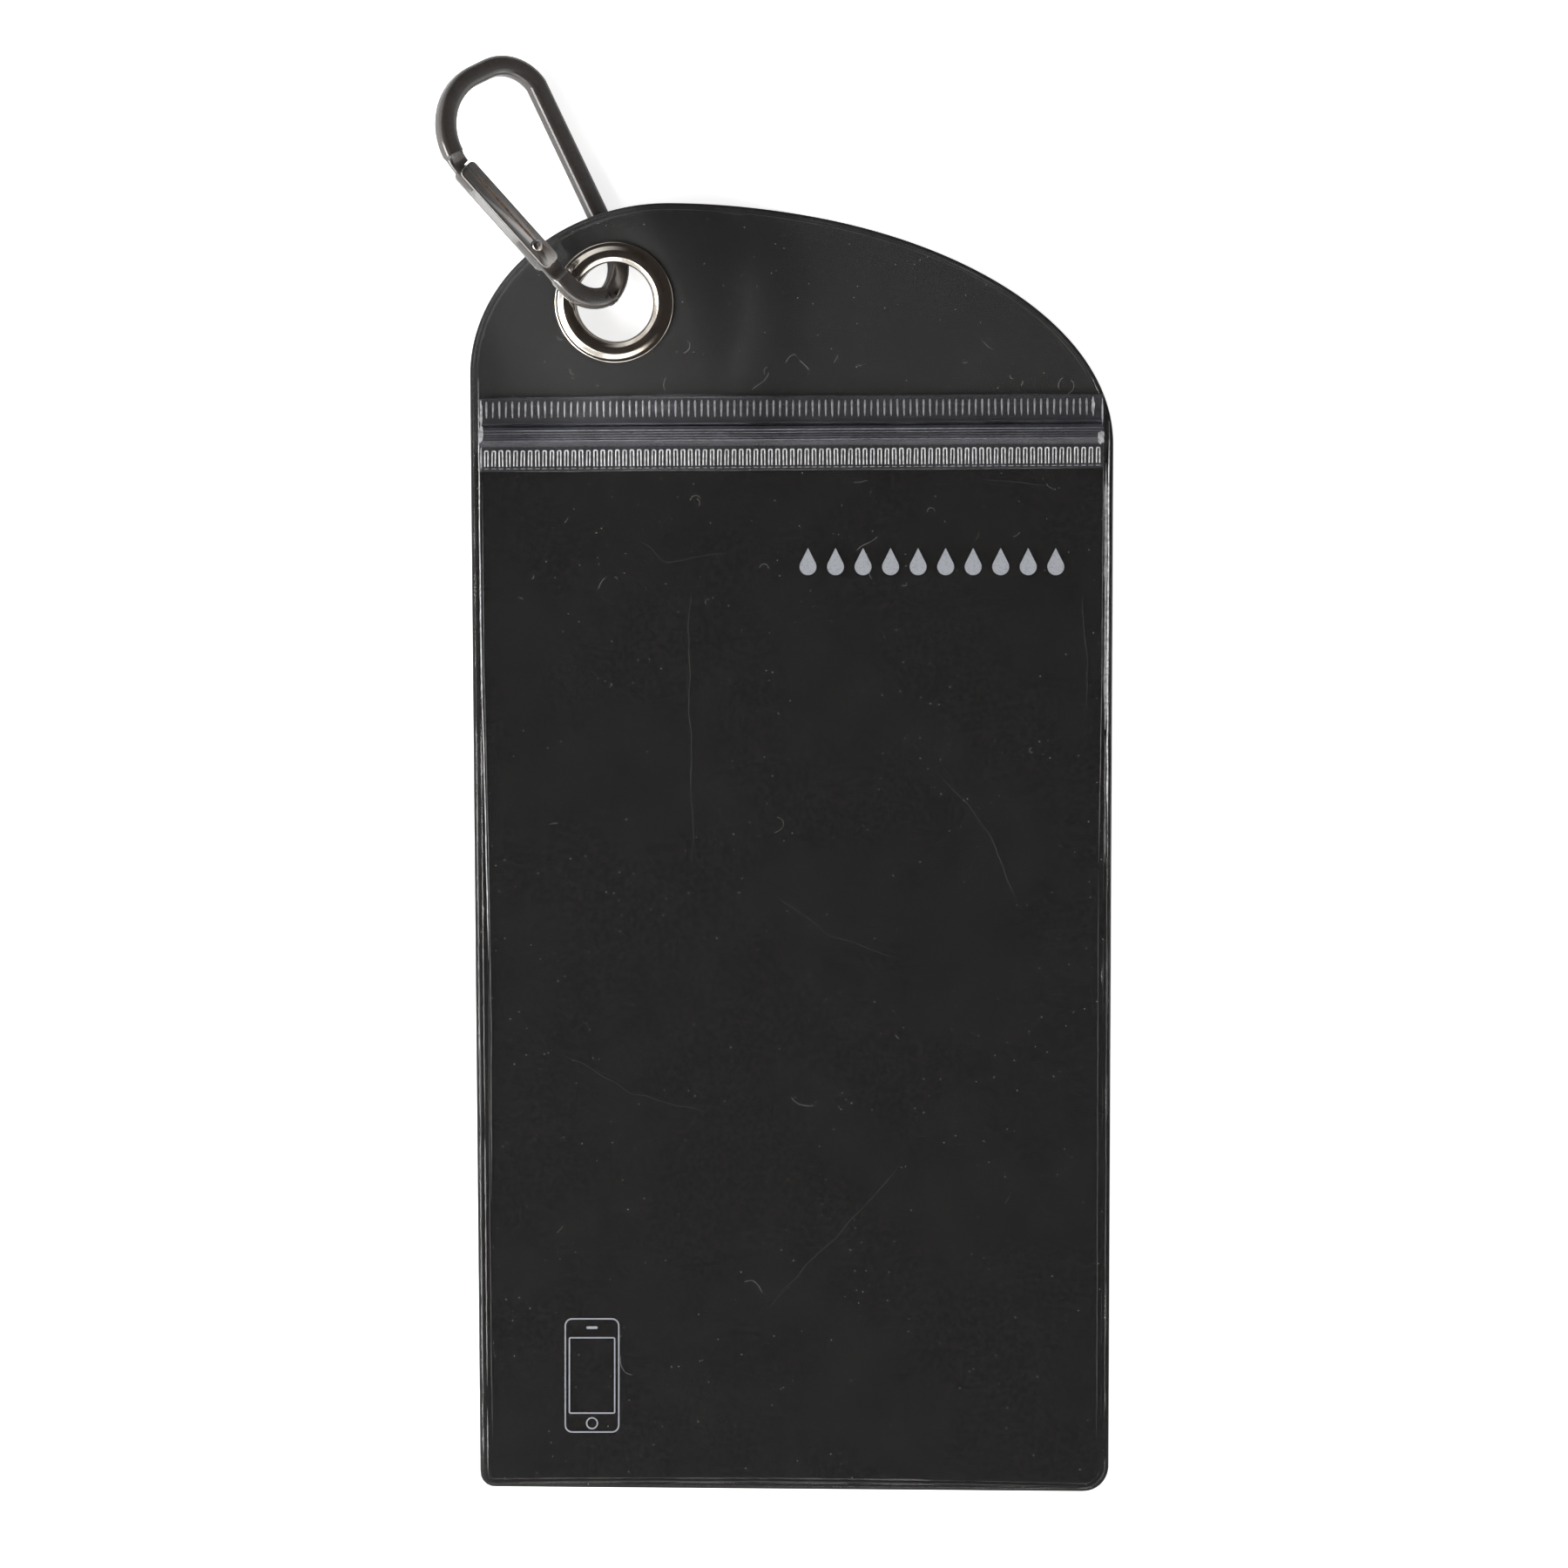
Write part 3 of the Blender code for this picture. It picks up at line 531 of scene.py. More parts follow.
def weldRelief(points, distance):
    # the welded band along the edge: a bead on each side of a pressed channel
    uneven = 0.75 + 0.9 * wander(points, 9 * mm, 3.0)
    fine = 1 + 0.5 * wander(points, 1.6 * mm, 7.0)
    outer, inner = film["outerBead"], film["innerBead"]
    relief = outer["height"] * bump(distance, outer["inset"], outer["width"]) * uneven
    relief = relief + inner["height"] * bump(distance, inner["inset"], inner["width"]) * uneven * fine
    pressed = smoothStep((distance - outer["inset"]) / (0.25 * mm))
    pressed = pressed * smoothStep((inner["inset"] - distance) / (0.25 * mm))
    rounded = 0.07 * mm * (1 - smoothStep((distance - pouch["frontInset"]) / (0.25 * mm)))
    return relief - film["weldDepth"] * pressed - rounded


def sway(points, distance):
    # slow waves of a soft film, still at the welds, the zip and the eyelet
    fade = smoothStep((distance - 3 * mm) / (9 * mm))
    fade = fade * smoothStep((np.abs(points[:, 1] - zipLine(points[:, 0])) - 7 * mm) / (14 * mm))
    fade = fade * smoothStep((fromEyelet(points) - 12.5 * mm) / (8 * mm))
    waves = wander(points, film["swaySize"], 1.0) + 0.35 * wander(points, film["swaySize"] / 2.3, 5.0)
    return film["swayHeight"] * fade * (0.5 + 0.37 * waves)


def filmPoints(loop, holeRadius, rings):
    # inner points of a sheet: rings along the edge, rings round the eyelet, and a staggered grid
    spread = []
    start = 0.8 * mm
    if rings:
        for inset in film["ringInsets"]:
            ring = insetLoop(outerLoop, inset * mm)
            spread.append(ring[edgeDistance(ring, outerLoop) > (inset - 0.03) * mm])
        start += film["ringInsets"][-1] * mm
    step = film["gridStep"]
    (lowX, lowY), (highX, highY) = loop.min(0), loop.max(0)
    xs, ys = np.meshgrid(np.arange(lowX, highX, step), np.arange(lowY, highY, step))
    xs = xs + (np.arange(xs.shape[0]) % 2)[:, None] * step / 2
    grid = np.column_stack([xs.ravel(), ys.ravel()])
    grid = grid[edgeDistance(grid, outerLoop) > start]
    if holeRadius:
        outside = 13.2 * mm
        grid = grid[fromEyelet(grid) > outside]
        for order, radius in enumerate(np.arange(holeRadius + 0.25 * mm, outside, 0.28 * mm)):
            spread.append(roundEyelet(radius, order * math.pi / 96))
    points = np.vstack([*spread, grid])
    points = points[isInside(points, loop)]
    return points[edgeDistance(points, loop) > 0.09 * mm]


def makeFilm(name, loop, low, relief, material, holeRadius=0.0, rings=True):
    # a closed sheet inside the loop, with its upper face raised by the relief
    boundaries = [loop] + ([roundEyelet(holeRadius, turns=-1)] if holeRadius else [])
    edges = []
    for boundary in boundaries:
        first, count = len(edges), len(boundary)
        edges += [(first + step, first + (step + 1) % count) for step in range(count)]
    flat = [Vector(point / mm) for point in np.vstack([*boundaries, filmPoints(loop, holeRadius, rings)])]
    found, _, faces, *_ = delaunay_2d_cdt(flat, edges, [], 1, 1e-5, False)
    flat = np.array([tuple(point) for point in found]) * mm
    if holeRadius:
        middles = np.array([flat[list(face)].mean(0) for face in faces])
        faces = [face for face, away in zip(faces, fromEyelet(middles)) if away > holeRadius]
    distance = edgeDistance(flat, outerLoop)
    base = low + liftAt(flat[:, 0], flat[:, 1]) + (sway(flat, distance) if rings else 0)
    upper = np.column_stack([flat, base + pouch["film"] + relief(flat, distance)])
    lower = np.column_stack([flat, base])
    count = len(flat)
    sides = {(here, face[index - 1]) for face in faces for index, here in enumerate(face)}
    rims = sorted(side for side in sides if side[::-1] not in sides)
    walls = [(here, before, before + count, here + count) for here, before in rims]
    skins = [tuple(face) for face in faces]
    skins += [tuple(vertex + count for vertex in face[::-1]) for face in faces]
    form = bmesh.new()
    mesh = bpy.data.meshes.new(name)
    mesh.from_pydata(np.vstack([upper, lower]).tolist(), [], skins + walls)
    form.from_mesh(mesh)
    bmesh.ops.delete(form, geom=[vert for vert in form.verts if not vert.link_faces], context="VERTS")
    bmesh.ops.recalc_face_normals(form, faces=form.faces)
    form.to_mesh(mesh)
    form.free()
    softShade(mesh, 50)
    return linkObject(name, mesh, material)


def backRelief(points, distance):
    return -0.08 * mm * (1 - smoothStep(distance / (0.2 * mm)))


def headerRelief(points, distance):
    ring = bump(fromEyelet(points), film["embossRadius"], film["embossWidth"])
    return weldRelief(points, distance) + film["embossHeight"] * ring


frontLoop = insetLoop(outerLoop, pouch["frontInset"])
headerLoop = clipLoop(frontLoop, lambda x, y: y - zipLine(x) - zipper["headerOverlap"])
windowLoop = clipLoop(frontLoop, lambda x, y: zipLine(x) - zipper["windowOverlap"] - y)
hole = eyelet["holeRadius"]
backFilm = makeFilm("backFilm", outerLoop, 0.0, backRelief, blackFilm, hole)
finishPiece(backFilm, "pouch", "black_film", "back_sheet")
headerFilm = makeFilm("headerFilm", headerLoop, pouch["frontLow"], headerRelief, headerClear, hole)
finishPiece(headerFilm, "pouch", "clear_film", "header_sheet")
windowFilm = makeFilm("windowFilm", windowLoop, pouch["frontLow"], weldRelief, clearFilm)
finishPiece(windowFilm, "pouch", "clear_film", "window_sheet")
# the side welds carry on past the zip's ends
tabGap, seam = 0.05 * mm, 0.04 * mm
besides = {"leftTab": lambda x, y: leftEnd - tabGap - x, "rightTab": lambda x, y: x - rightEnd - tabGap}
for name, beside in besides.items():
    tabLoop = clipLoop(frontLoop, beside)
    tabLoop = clipLoop(tabLoop, lambda x, y: zipLine(x) + zipper["headerOverlap"] - seam - y)
    tabLoop = clipLoop(tabLoop, lambda x, y: y - zipLine(x) + zipper["windowOverlap"] - seam)
    tab = makeFilm(name, tabLoop, pouch["frontLow"], weldRelief, headerClear)
    finishPiece(tab, "pouch", "clear_film")
print("films made:", sum(len(item.data.polygons) for item in (backFilm, headerFilm, windowFilm)), "faces")

# Zip strips

zipStrip = {
    "flangeLow": 1.0 * mm,
    "flangeTop": 1.3 * mm,
    "webLow": 0.5 * mm,
    "webTop": 0.8 * mm,
    "capLow": 1.75 * mm,
    "capTop": 2.05 * mm,
    "ridges": (0.56, 0.13, -0.30, -0.73, -1.09),
    "ridgeHeight": 0.08 * mm,
    "ribReach": (-1.25 * mm, 0.85 * mm),
    "edgeReach": 5.83 * mm,
    "stationStep": 0.7 * mm,
}


def zipProfiles():
    # closed outlines across the zip in millimetres: place above its middle line, height above the back film
    names = ("flangeLow", "flangeTop", "webLow", "webTop", "capLow", "capTop")
    low, top, webLow, webTop, capLow, capTop = (zipStrip[name] / mm for name in names)
    reach = zipper["flangeReach"] / mm
    ribTop = webTop + 0.7
    upper = [(reach, low), (reach, top - 0.03), (reach - 0.05, top + 0.03), (reach - 0.12, top + 0.03)]
    upper += [(reach - 0.2, top), *((reach - step * 0.45, top) for step in range(1, 9)), (1.5, top)]
    upper += [(1.2, webTop), (0.3, webTop), (0.5, ribTop - 0.35), (0.3, ribTop), (-0.3, ribTop)]
    upper += [(-0.5, ribTop - 0.35), (-0.3, webTop), (-1.4, webTop), (-1.4, webLow)]
    upper += [(1.5, webLow), (1.8, low)]
    ridged = []
    for place in np.linspace(1.1, -1.4, 41):
        ridge = sum(bump(place, middle, 0.09) for middle in zipStrip["ridges"])
        ridged.append((place, capTop + zipStrip["ridgeHeight"] / mm * ridge))
    lower = [(1.1, webTop + 0.25), *ridged, (-2.1, top), *((-2.1 - step * 0.42, top) for step in range(1, 9))]
    lower += [(0.1 - reach, top), (-reach, top - 0.05), (-reach, low), (-1.85, low), (-1.1, capLow)]
    lower += [(-1.1, webTop + 0.25), (-0.8, webTop + 0.25), (-0.8, capLow)]
    lower += [(0.8, capLow), (0.8, webTop + 0.25)]
    return upper, lower


def addLoft(form, rings, closed=False):
    rows = [[form.verts.new(point) for point in ring] for ring in rings]
    pairs = list(zip(rows, rows[1:])) + ([(rows[-1], rows[0])] if closed else [])
    for first, second in pairs:
        for index in range(len(first)):
            after = (index + 1) % len(first)
            form.faces.new((first[index], first[after], second[after], second[index]))
    if not closed:
        form.faces.new(rows[0])
        form.faces.new(rows[-1])


def addSweep(form, path, sections):
    # lofts a section at each point of a flat path; a section gives places sideways and heights
    path = np.array(path)
    ahead = np.gradient(path, axis=0)
    ahead /= np.hypot(*ahead.T)[:, None] + 1e-12
    side = np.column_stack([-ahead[:, 1], ahead[:, 0]])
    rings = []
    for place, out, section in zip(path, side, sections):
        rings.append([(*(place + out * sideways), height) for sideways, height in section])
    addLoft(form, rings)


def roundSection(radius, corners, height=0.0):
    angles = [2 * math.pi * corner / corners for corner in range(corners)]
    return [(radius * math.cos(a), height + radius * math.sin(a)) for a in angles]


def loftRings(rings, closed=False):
    form = bmesh.new()
    addLoft(form, rings, closed)
    bmesh.ops.recalc_face_normals(form, faces=form.faces)
    return form


def meshFrom(form, name, angle=40):
    mesh = bpy.data.meshes.new(name)
    form.to_mesh(mesh)
    form.free()
    softShade(mesh, angle)
    return mesh


def makeZipStrip(name, profile, node):
    rings = []
    for x in np.linspace(leftEnd, rightEnd, round((rightEnd - leftEnd) / zipStrip["stationStep"])):
        waver = 0.05 * mm * noise.noise(Vector((x / (14 * mm), 0.5, 0)))
        ring = []
        for above, height in profile:
            y = zipLine(x) + above * mm + waver
            ring.append((x, y, height * mm + liftAt(x, y)))
        rings.append(ring)
    strip = linkObject(name, meshFrom(loftRings(rings), name, 30), zipFilm)
    strip.data.materials.append(zipRibs)
    ribLow, ribHigh = zipStrip["ribReach"]
    for face in strip.data.polygons:
        above = face.center.y - zipLine(face.center.x)
        if ribLow < above < ribHigh or abs(above) > zipStrip["edgeReach"]:
            face.material_index = 1
    finishPiece(strip, "pouch", "zip_strip", node)


upperProfile, lowerProfile = zipProfiles()
makeZipStrip("zipUpper", upperProfile, "zip_upper_strip")
makeZipStrip("zipLower", lowerProfile, "zip_lower_strip")

# Pressed marks along the zip, set out by a node tree

marks = {
    "tickPitch": 1.077 * mm,
    "tickAbove": 4.05 * mm,
    "tickLength": 2.7 * mm,
    "tickWidth": 0.45 * mm,
    "archPitch": 1.202 * mm,  # of the dashes too
    "archAbove": -4.0 * mm,
    "archLength": 2.6 * mm,
    "archWidth": 0.54 * mm,
    "archLine": 0.115 * mm,
    "dashAbove": -5.65 * mm,
    "startMargin": 1.05 * mm,
    "endMargins": {"tickRow": 2.4 * mm, "archRow": 0.35 * mm, "dashRow": 0.35 * mm},
}


def makeCopyTree(name, own, makePoints, flat):
    # copies of a shape at points, each with its own size and turn; the points have their own inputs
    inputs = [("Geometry", "NodeSocketGeometry", None), ("Shape", "NodeSocketObject", None), *own]
    inputs += [(label, "NodeSocketFloat", 1.0) for label in ("Smallest", "Largest", "Turn From", "Turn To")]
    inputs += [("Seed", "NodeSocketInt", 1), ("Material", "NodeSocketMaterial", None)]
    outputs = [("Geometry", "NodeSocketGeometry", None)]
    tree, given, made = newGroup(name, "GeometryNodeTree", inputs, outputs)
    pick = given.outputs

    def chance(low, high):
        sockets = {2: pick[low], 3: pick[high], "Seed": pick["Seed"]}
        return put(tree, "FunctionNodeRandomValue", sockets, data_type="FLOAT").outputs[1]

    size = chance("Smallest", "Largest")
    scale = {"X": size, "Y": size, "Z": 1.0 if flat else size}
    sockets = {
        "Points": makePoints(tree, pick),
        "Instance": put(tree, "GeometryNodeObjectInfo", {"Object": pick["Shape"]}).outputs["Geometry"],
        "Rotation": put(tree, "ShaderNodeCombineXYZ", {"Z": chance("Turn From", "Turn To")}).outputs[0],
        "Scale": put(tree, "ShaderNodeCombineXYZ", scale).outputs[0],
    }
    copies = put(tree, "GeometryNodeInstanceOnPoints", sockets)
    solid = put(tree, "GeometryNodeRealizeInstances", {"Geometry": copies.outputs[0]})
    sockets = {"Geometry": solid.outputs[0], "Material": pick["Material"]}
    tree.links.new(put(tree, "GeometryNodeSetMaterial", sockets).outputs[0], made.inputs[0])
    return tree


def rowPoints(tree, pick):
    sockets = {"Count": pick["Count"], "Start Location": pick["Start"], "Offset": pick["Pitch"]}
    return put(tree, "GeometryNodeMeshLine", sockets).outputs[0]


def runTree(name, tree, source, **values):
    # evaluates the tree on a holder object and keeps the result as a plain mesh
    holder = bpy.data.objects.new(name + "Holder", source or bpy.data.meshes.new(name + "Holder"))
    bpy.context.scene.collection.objects.link(holder)
    modifier = holder.modifiers.new("tree", "NODES")
    modifier.node_group = tree
    sockets = {item.name: item.identifier for item in tree.interface.items_tree if item.in_out == "INPUT"}
    for label, value in values.items():
        modifier[sockets[label.replace("_", " ")]] = value
    bpy.context.view_layer.update()
    mesh = bpy.data.meshes.new_from_object(holder.evaluated_get(bpy.context.evaluated_depsgraph_get()))
    mesh.name = name
    bpy.data.objects.remove(holder, do_unlink=True)
    return mesh


def growCopies(name, form, tree, source, material, **values):
    shape = linkObject(name + "Shape", meshFrom(form, name + "Shape"), material)
    mesh = runTree(name, tree, source, Shape=shape, Material=material, **values)
    bpy.data.objects.remove(shape, do_unlink=True)
    return mesh


def tickForm():
    # a low bar with a rounded back, narrower towards its lower end
    length, width, sink = marks["tickLength"], marks["tickWidth"], -0.05 * mm
    rings = []
    for step in range(7):
        share = step / 6
        tip = step in (0, 6)
        half = width / 2 * (1 - 0.35 * share) * (0.45 if tip else 1)
        top = 0.09 * mm * (0.4 if tip else 1)
        section = ((-half, sink), (half, sink), (half * 0.6, top * 0.7), (0, top), (-half * 0.6, top * 0.7))
        rings.append([(x, length * (0.5 - share), z) for x, z in section])
    return loftRings(rings)


def archForm():
    # an upside-down U of fine round line, squarish over the top
    half = marks["archWidth"] / 2
    bottom = -marks["archLength"] / 2
    straight = marks["archLength"] / 2 - half
    middle = (bottom + straight) / 2
    path = [(-half, bottom), (-half, middle)]
    for a in np.linspace(math.pi, 0, 10):
        c, s = math.cos(a), math.sin(a)
        path.append((half * math.copysign(abs(c) ** 0.6, c), straight + half * abs(s) ** 0.6))
    path += [(half, middle), (half, bottom)]
    form = bmesh.new()
    addSweep(form, path, [roundSection(marks["archLine"], 6)] * len(path))
    bmesh.ops.recalc_face_normals(form, faces=form.faces)
    return form


def dashForm():
    rings = []
    for x, scale in ((-0.42 * mm, 0.4), (-0.3 * mm, 1), (0.3 * mm, 1), (0.42 * mm, 0.4)):
        half = 0.09 * mm * scale
        rings.append([(x, -half, -0.04 * mm), (x, half, -0.04 * mm), (x, 0, 0.06 * mm * scale)])
    return loftRings(rings)


def makeMarkRow(name, form, pitch, above, material, sizeSpread, turnSpread, seed):
    start = leftEnd + marks["startMargin"]
    values = {
        "Count": int((rightEnd - marks["endMargins"][name] - start) / pitch) + 1,
        "Start": (start, zipLine(start) + above, zipStrip["flangeTop"]),
        "Pitch": (pitch, pitch * zipper["slope"], 0),
        "Smallest": 1 - sizeSpread,
        "Largest": 1 + sizeSpread,
        "Turn_From": -turnSpread,
        "Turn_To": turnSpread,
        "Seed": seed,
    }
    mesh = growCopies(name, form, rowTree, None, material, **values)
    for vertex in mesh.vertices:
        vertex.co.z += float(liftAt(vertex.co.x, vertex.co.y))
    softShade(mesh)
    return finishPiece(linkObject(name, mesh, material), "pouch", "zip_strip")


rowInputs = [("Count", "NodeSocketInt", 10)]
rowInputs += [(label, "NodeSocketVector", None) for label in ("Start", "Pitch")]
rowTree = makeCopyTree("rowOfMarks", rowInputs, rowPoints, True)
tickPitch, archPitch = marks["tickPitch"], marks["archPitch"]
tickLook, archLook = marked["pressedTicks"], marked["pressedArches"]
makeMarkRow("tickRow", tickForm(), tickPitch, marks["tickAbove"], tickLook, 0.06, 0.03, 4)
makeMarkRow("archRow", archForm(), archPitch, marks["archAbove"], archLook, 0.03, 0.02, 9)
makeMarkRow("dashRow", dashForm(), archPitch, marks["dashAbove"], tickLook, 0.1, 0.03, 2)
print("zip made")

# Print on the window film: a row of plain drops, and a plain handset outline

printed = {
    "thickness": 0.03 * mm,
    "sink": 0.02 * mm,
    "dropCount": 10,
    "dropLeft": 2.7 * mm,
    "dropRight": 43.6 * mm,
    "dropY": 46.75 * mm,
    "dropLength": 4.5 * mm,
    "handsetX": -32.95 * mm,
    "handsetY": -87.6 * mm,
    "handsetWidth": 9.05 * mm,
    "handsetHeight": 18.9 * mm,
    "handsetCorner": 1.25 * mm,
    "line": 0.22 * mm,
    "screenWidth": 7.7 * mm,
    "screenHeight": 12.65 * mm,
    "earpieceWidth": 1.85 * mm,
    "earpieceHeight": 0.42 * mm,
    "buttonRadius": 1.0 * mm,
}


def filmTopAt(points):
    # height of the window film's upper face
    points = np.array(points)
    distance = edgeDistance(points, outerLoop)
    top = pouch["frontLow"] + pouch["film"] + liftAt(points[:, 0], points[:, 1])
    return top + sway(points, distance) + weldRelief(points, distance)


def addPatch(form, outer, inner=None):
    # a flat printed shape, or a band between two loops of equally many points
    def ring(loop, level):
        return [(x, y, z + level) for (x, y), z in zip(loop, filmTopAt(loop))]

    thick, sink = printed["thickness"], -printed["sink"]
    rings = [ring(outer, sink), ring(outer, thick)]
    if inner is not None:
        rings += [ring(inner, thick), ring(inner, sink)]
    addLoft(form, rings, closed=inner is not None)


def roundedLoop(x, y, width, height, corner, count=6):
    loop = []
    for sideX, sideY, start in ((1, -1, -0.5), (1, 1, 0), (-1, 1, 0.5), (-1, -1, 1)):
        centreX = x + sideX * (width / 2 - corner)
        centreY = y + sideY * (height / 2 - corner)
        loop += arcPoints(centreX, centreY, corner, corner, start * math.pi, (start + 0.5) * math.pi, count)
    return np.array(loop)


def dropLoop(x, y, length):
    # round below, drawn out to a point above
    radius = 0.31 * length
    centreY = y - length / 2 + radius
    tip = y + length / 2
    reach = math.acos(radius / (tip - centreY))
    loop = [(x, tip)]
    loop += arcPoints(x, centreY, radius, radius, math.pi / 2 + reach, 5 * math.pi / 2 - reach, 22)
    return np.array(loop)


def makePrint():
    form = bmesh.new()
    for x in np.linspace(printed["dropLeft"], printed["dropRight"], printed["dropCount"]):
        addPatch(form, dropLoop(x, printed["dropY"], printed["dropLength"]))
    x, y, line = printed["handsetX"], printed["handsetY"], printed["line"]
    for part, corner in (("handset", printed["handsetCorner"]), ("screen", 0.35 * mm)):
        width, height = printed[part + "Width"], printed[part + "Height"]
        outer = roundedLoop(x, y, width, height, corner)
        inner = roundedLoop(x, y, width - 2 * line, height - 2 * line, max(corner - line, 0.05 * mm))
        addPatch(form, outer, inner)
    # earpiece bar and button, midway between the screen and the ends
    away = (printed["handsetHeight"] + printed["screenHeight"]) / 4
    width, height = printed["earpieceWidth"], printed["earpieceHeight"]
    addPatch(form, roundedLoop(x, y + away, width, height, height / 2 - 0.01 * mm))
    radii = (printed["buttonRadius"], printed["buttonRadius"] - line)
    addPatch(form, *(np.array(arcPoints(x, y - away, r, r, 0, 2 * math.pi, 28)[:-1]) for r in radii))
    bmesh.ops.recalc_face_normals(form, faces=form.faces)
    return linkObject("print", meshFrom(form, "print", 0), silverInk)


finishPiece(makePrint(), "pouch", "zip_strip")
print("print made")

# Fine lines that lie on the films: painted highlights along the welds, the zip ribs and the strip edges,
# crushed zip ends, creases

lines = {
    "spacing": 0.7 * mm,
    # side, from y, to y, insets along the way, width, and which tone of painted highlight
    "welds": (
        ("left", 77, -20, (1.38, 1.36, 1.45, 1.9, 2.2), 0.17, "bright"),
        ("left", 60, -60, (1.85, 1.85, 2.3, 2.5, 2.3), 0.11, "grey"),
        ("left", 74, 4, (0.52, 0.48, 0.55, 0.5), 0.08, "faint"),
        ("left", 8, -101, (0.62, 0.5, 0.7, 0.55, 0.6, 0.5), 0.13, "grey"),
        ("left", -20, -101, (2.2, 2.0, 2.1), 0.10, "faint"),
        ("right", 72, -4, (1.6, 1.66, 1.75, 2.1), 0.10, "grey"),
        ("right", 63, 18, (1.16, 1.14, 1.1), 0.55, "light"),
        ("right", 18, -4, (1.1, 1.05), 0.30, "grey"),
        ("right", 70, 2, (0.70, 0.70, 0.74, 0.68), 0.22, "bright"),
        ("right", 66, -50, (0.16, 0.16), 0.14, "faint"),
        ("right", 4, -99, (0.72, 0.66, 0.7), 0.12, "faint"),
        ("right", -4, -99, (2.1, 2.0), 0.10, "faint"),
    ),
    # millimetres above the zip's middle line, width, and tone of painted highlight
    "zipEdges": ((6.08, 0.11, "grey"), (-6.12, 0.10, "grey"), (4.62, 0.07, "faint")),
    "domeInset": 1.1 * mm,
    "footInset": 0.75 * mm,
    "ribs": (
        (0.56, 0.16, 0.09),
        (0.13, 0.06, 0.05),
        (-0.30, 0.05, 0.05),
        (-0.73, 0.07, 0.06),
        (-1.09, 0.12, 0.06),
    ),
    "creases": (
        ((-17.1, 43.1), (-16.9, 20.0), (-16.4, -2.9)),
        ((18.9, -51.8), (8.0, -64.0), (-4.1, -76.3)),
        ((31.8, 60.8), (37.5, 60.2), (42.7, 59.1)),
        ((-25.7, 50.7), (-23.5, 49.5), (-21.4, 47.0), (-16.0, 47.4), (-11.3, 48.0)),
        ((48.0, 41.7), (48.3, 31.0), (48.4, 21.6)),
        ((-3.0, -8.0), (6.0, -15.0), (17.0, -18.5)),
        ((24.0, 12.0), (33.0, 2.0), (37.0, -9.0)),
        ((-38.0, -34.0), (-27.0, -41.0), (-14.0, -44.0)),
    ),
}


def addLine(form, path, width, height, seed=1.0, base=filmTopAt):
    # a low rounded line along the path, wavering in width and thin at its ends
    path = evenly(path, lines["spacing"], closed=False)
    wide = width * (1 + 0.45 * wander(path, 2.2 * mm, seed)) / 2
    way = np.linspace(0, 1, len(path))
    wide *= 0.15 + 0.85 * smoothStep(np.minimum(way, 1 - way) / 0.12)
    low = -0.02 * mm
    section = ((-1, low), (1, low), (0.6, height * 0.8), (0, height), (-0.6, height * 0.8))
    sections = []
    for half, top in zip(wide, base(path)):
        sections.append([(half * share, top + level) for share, level in section])
    addSweep(form, path, sections)


def lineObject(name, form, material, slot="clear_film"):
    bmesh.ops.recalc_face_normals(form, faces=form.faces)
    return finishPiece(linkObject(name, meshFrom(form, name, 60), material), "pouch", slot)


def makeWeldHighlights():
    # painted highlights: light lines along the weld beads, the dome, the foot and the zip strips' edges
    forms = {tone: bmesh.new() for tone in ("bright", "light", "grey", "faint")}
    for order, (side, top, bottom, insets, width, tone) in enumerate(lines["welds"]):
        ys = np.arange(top, bottom, -1.0) * mm
        inset = np.interp(ys, np.linspace(bottom, top, len(insets)) * mm, insets[::-1]) * mm
        right = side == "right"
        xs = np.array([sideAt(y, right) for y in ys]) + (-inset if right else inset)
        xs += 0.05 * mm * wander(np.column_stack([xs, ys]), 4 * mm, order + 0.5)
        addLine(forms[tone], np.column_stack([xs, ys]), width * mm, 0.05 * mm, order)
    dome = insetLoop(outerLoop, lines["domeInset"])
    dome = dome[dome[:, 1] > zipLine(dome[:, 0]) + 5 * mm]
    addLine(forms["faint"], dome, 0.13 * mm, 0.05 * mm, 3.3)
    foot = insetLoop(outerLoop, lines["footInset"])
    foot = foot[(foot[:, 1] < -100 * mm) & (np.abs(foot[:, 0]) < 48 * mm)]
    addLine(forms["faint"], foot[np.argsort(foot[:, 0])], 0.14 * mm, 0.05 * mm, 4.4)
    # painted highlights along the zip strips' own edges, and a faint wavy one among the ticks
    xs = np.arange(leftEnd + 0.1 * mm, rightEnd - 0.1 * mm, 0.5 * mm)
    for above, width, tone in lines["zipEdges"]:
        level, wave = pouch["frontLow"] + pouch["film"], 0.02 * mm * np.sin(xs / (5 * mm))
        if abs(above) < 6:
            level, wave = zipStrip["flangeTop"], 0.12 * mm * np.sin(xs / (0.34 * mm))
        path = np.column_stack([xs, zipLine(xs) + above * mm + wave])
        addLine(forms[tone], path, width * mm, 0.04 * mm, above, lambda p: level + liftAt(p[:, 0], p[:, 1]))
    for tone, form in forms.items():
        name = "weld" + tone.capitalize()
        lineObject(name, form, marked[name])


def makeRibHighlights():
    # painted highlights: light lines along the ridges of the zip's cap
    form = bmesh.new()
    capTop = zipStrip["capTop"] + 0.02 * mm
    xs = np.arange(leftEnd + 0.2 * mm, rightEnd - 0.2 * mm, 0.7 * mm)
    for above, width, height in lines["ribs"]:
        path = np.column_stack([xs, zipLine(xs) + above * mm + 0.02 * mm * np.sin(xs / (9 * mm))])
        addLine(form, path, width * mm, height * mm, above, lambda p: capTop + liftAt(p[:, 0], p[:, 1]))
    lineObject("ribLines", form, marked["zipRibHighlights"], "zip_strip")


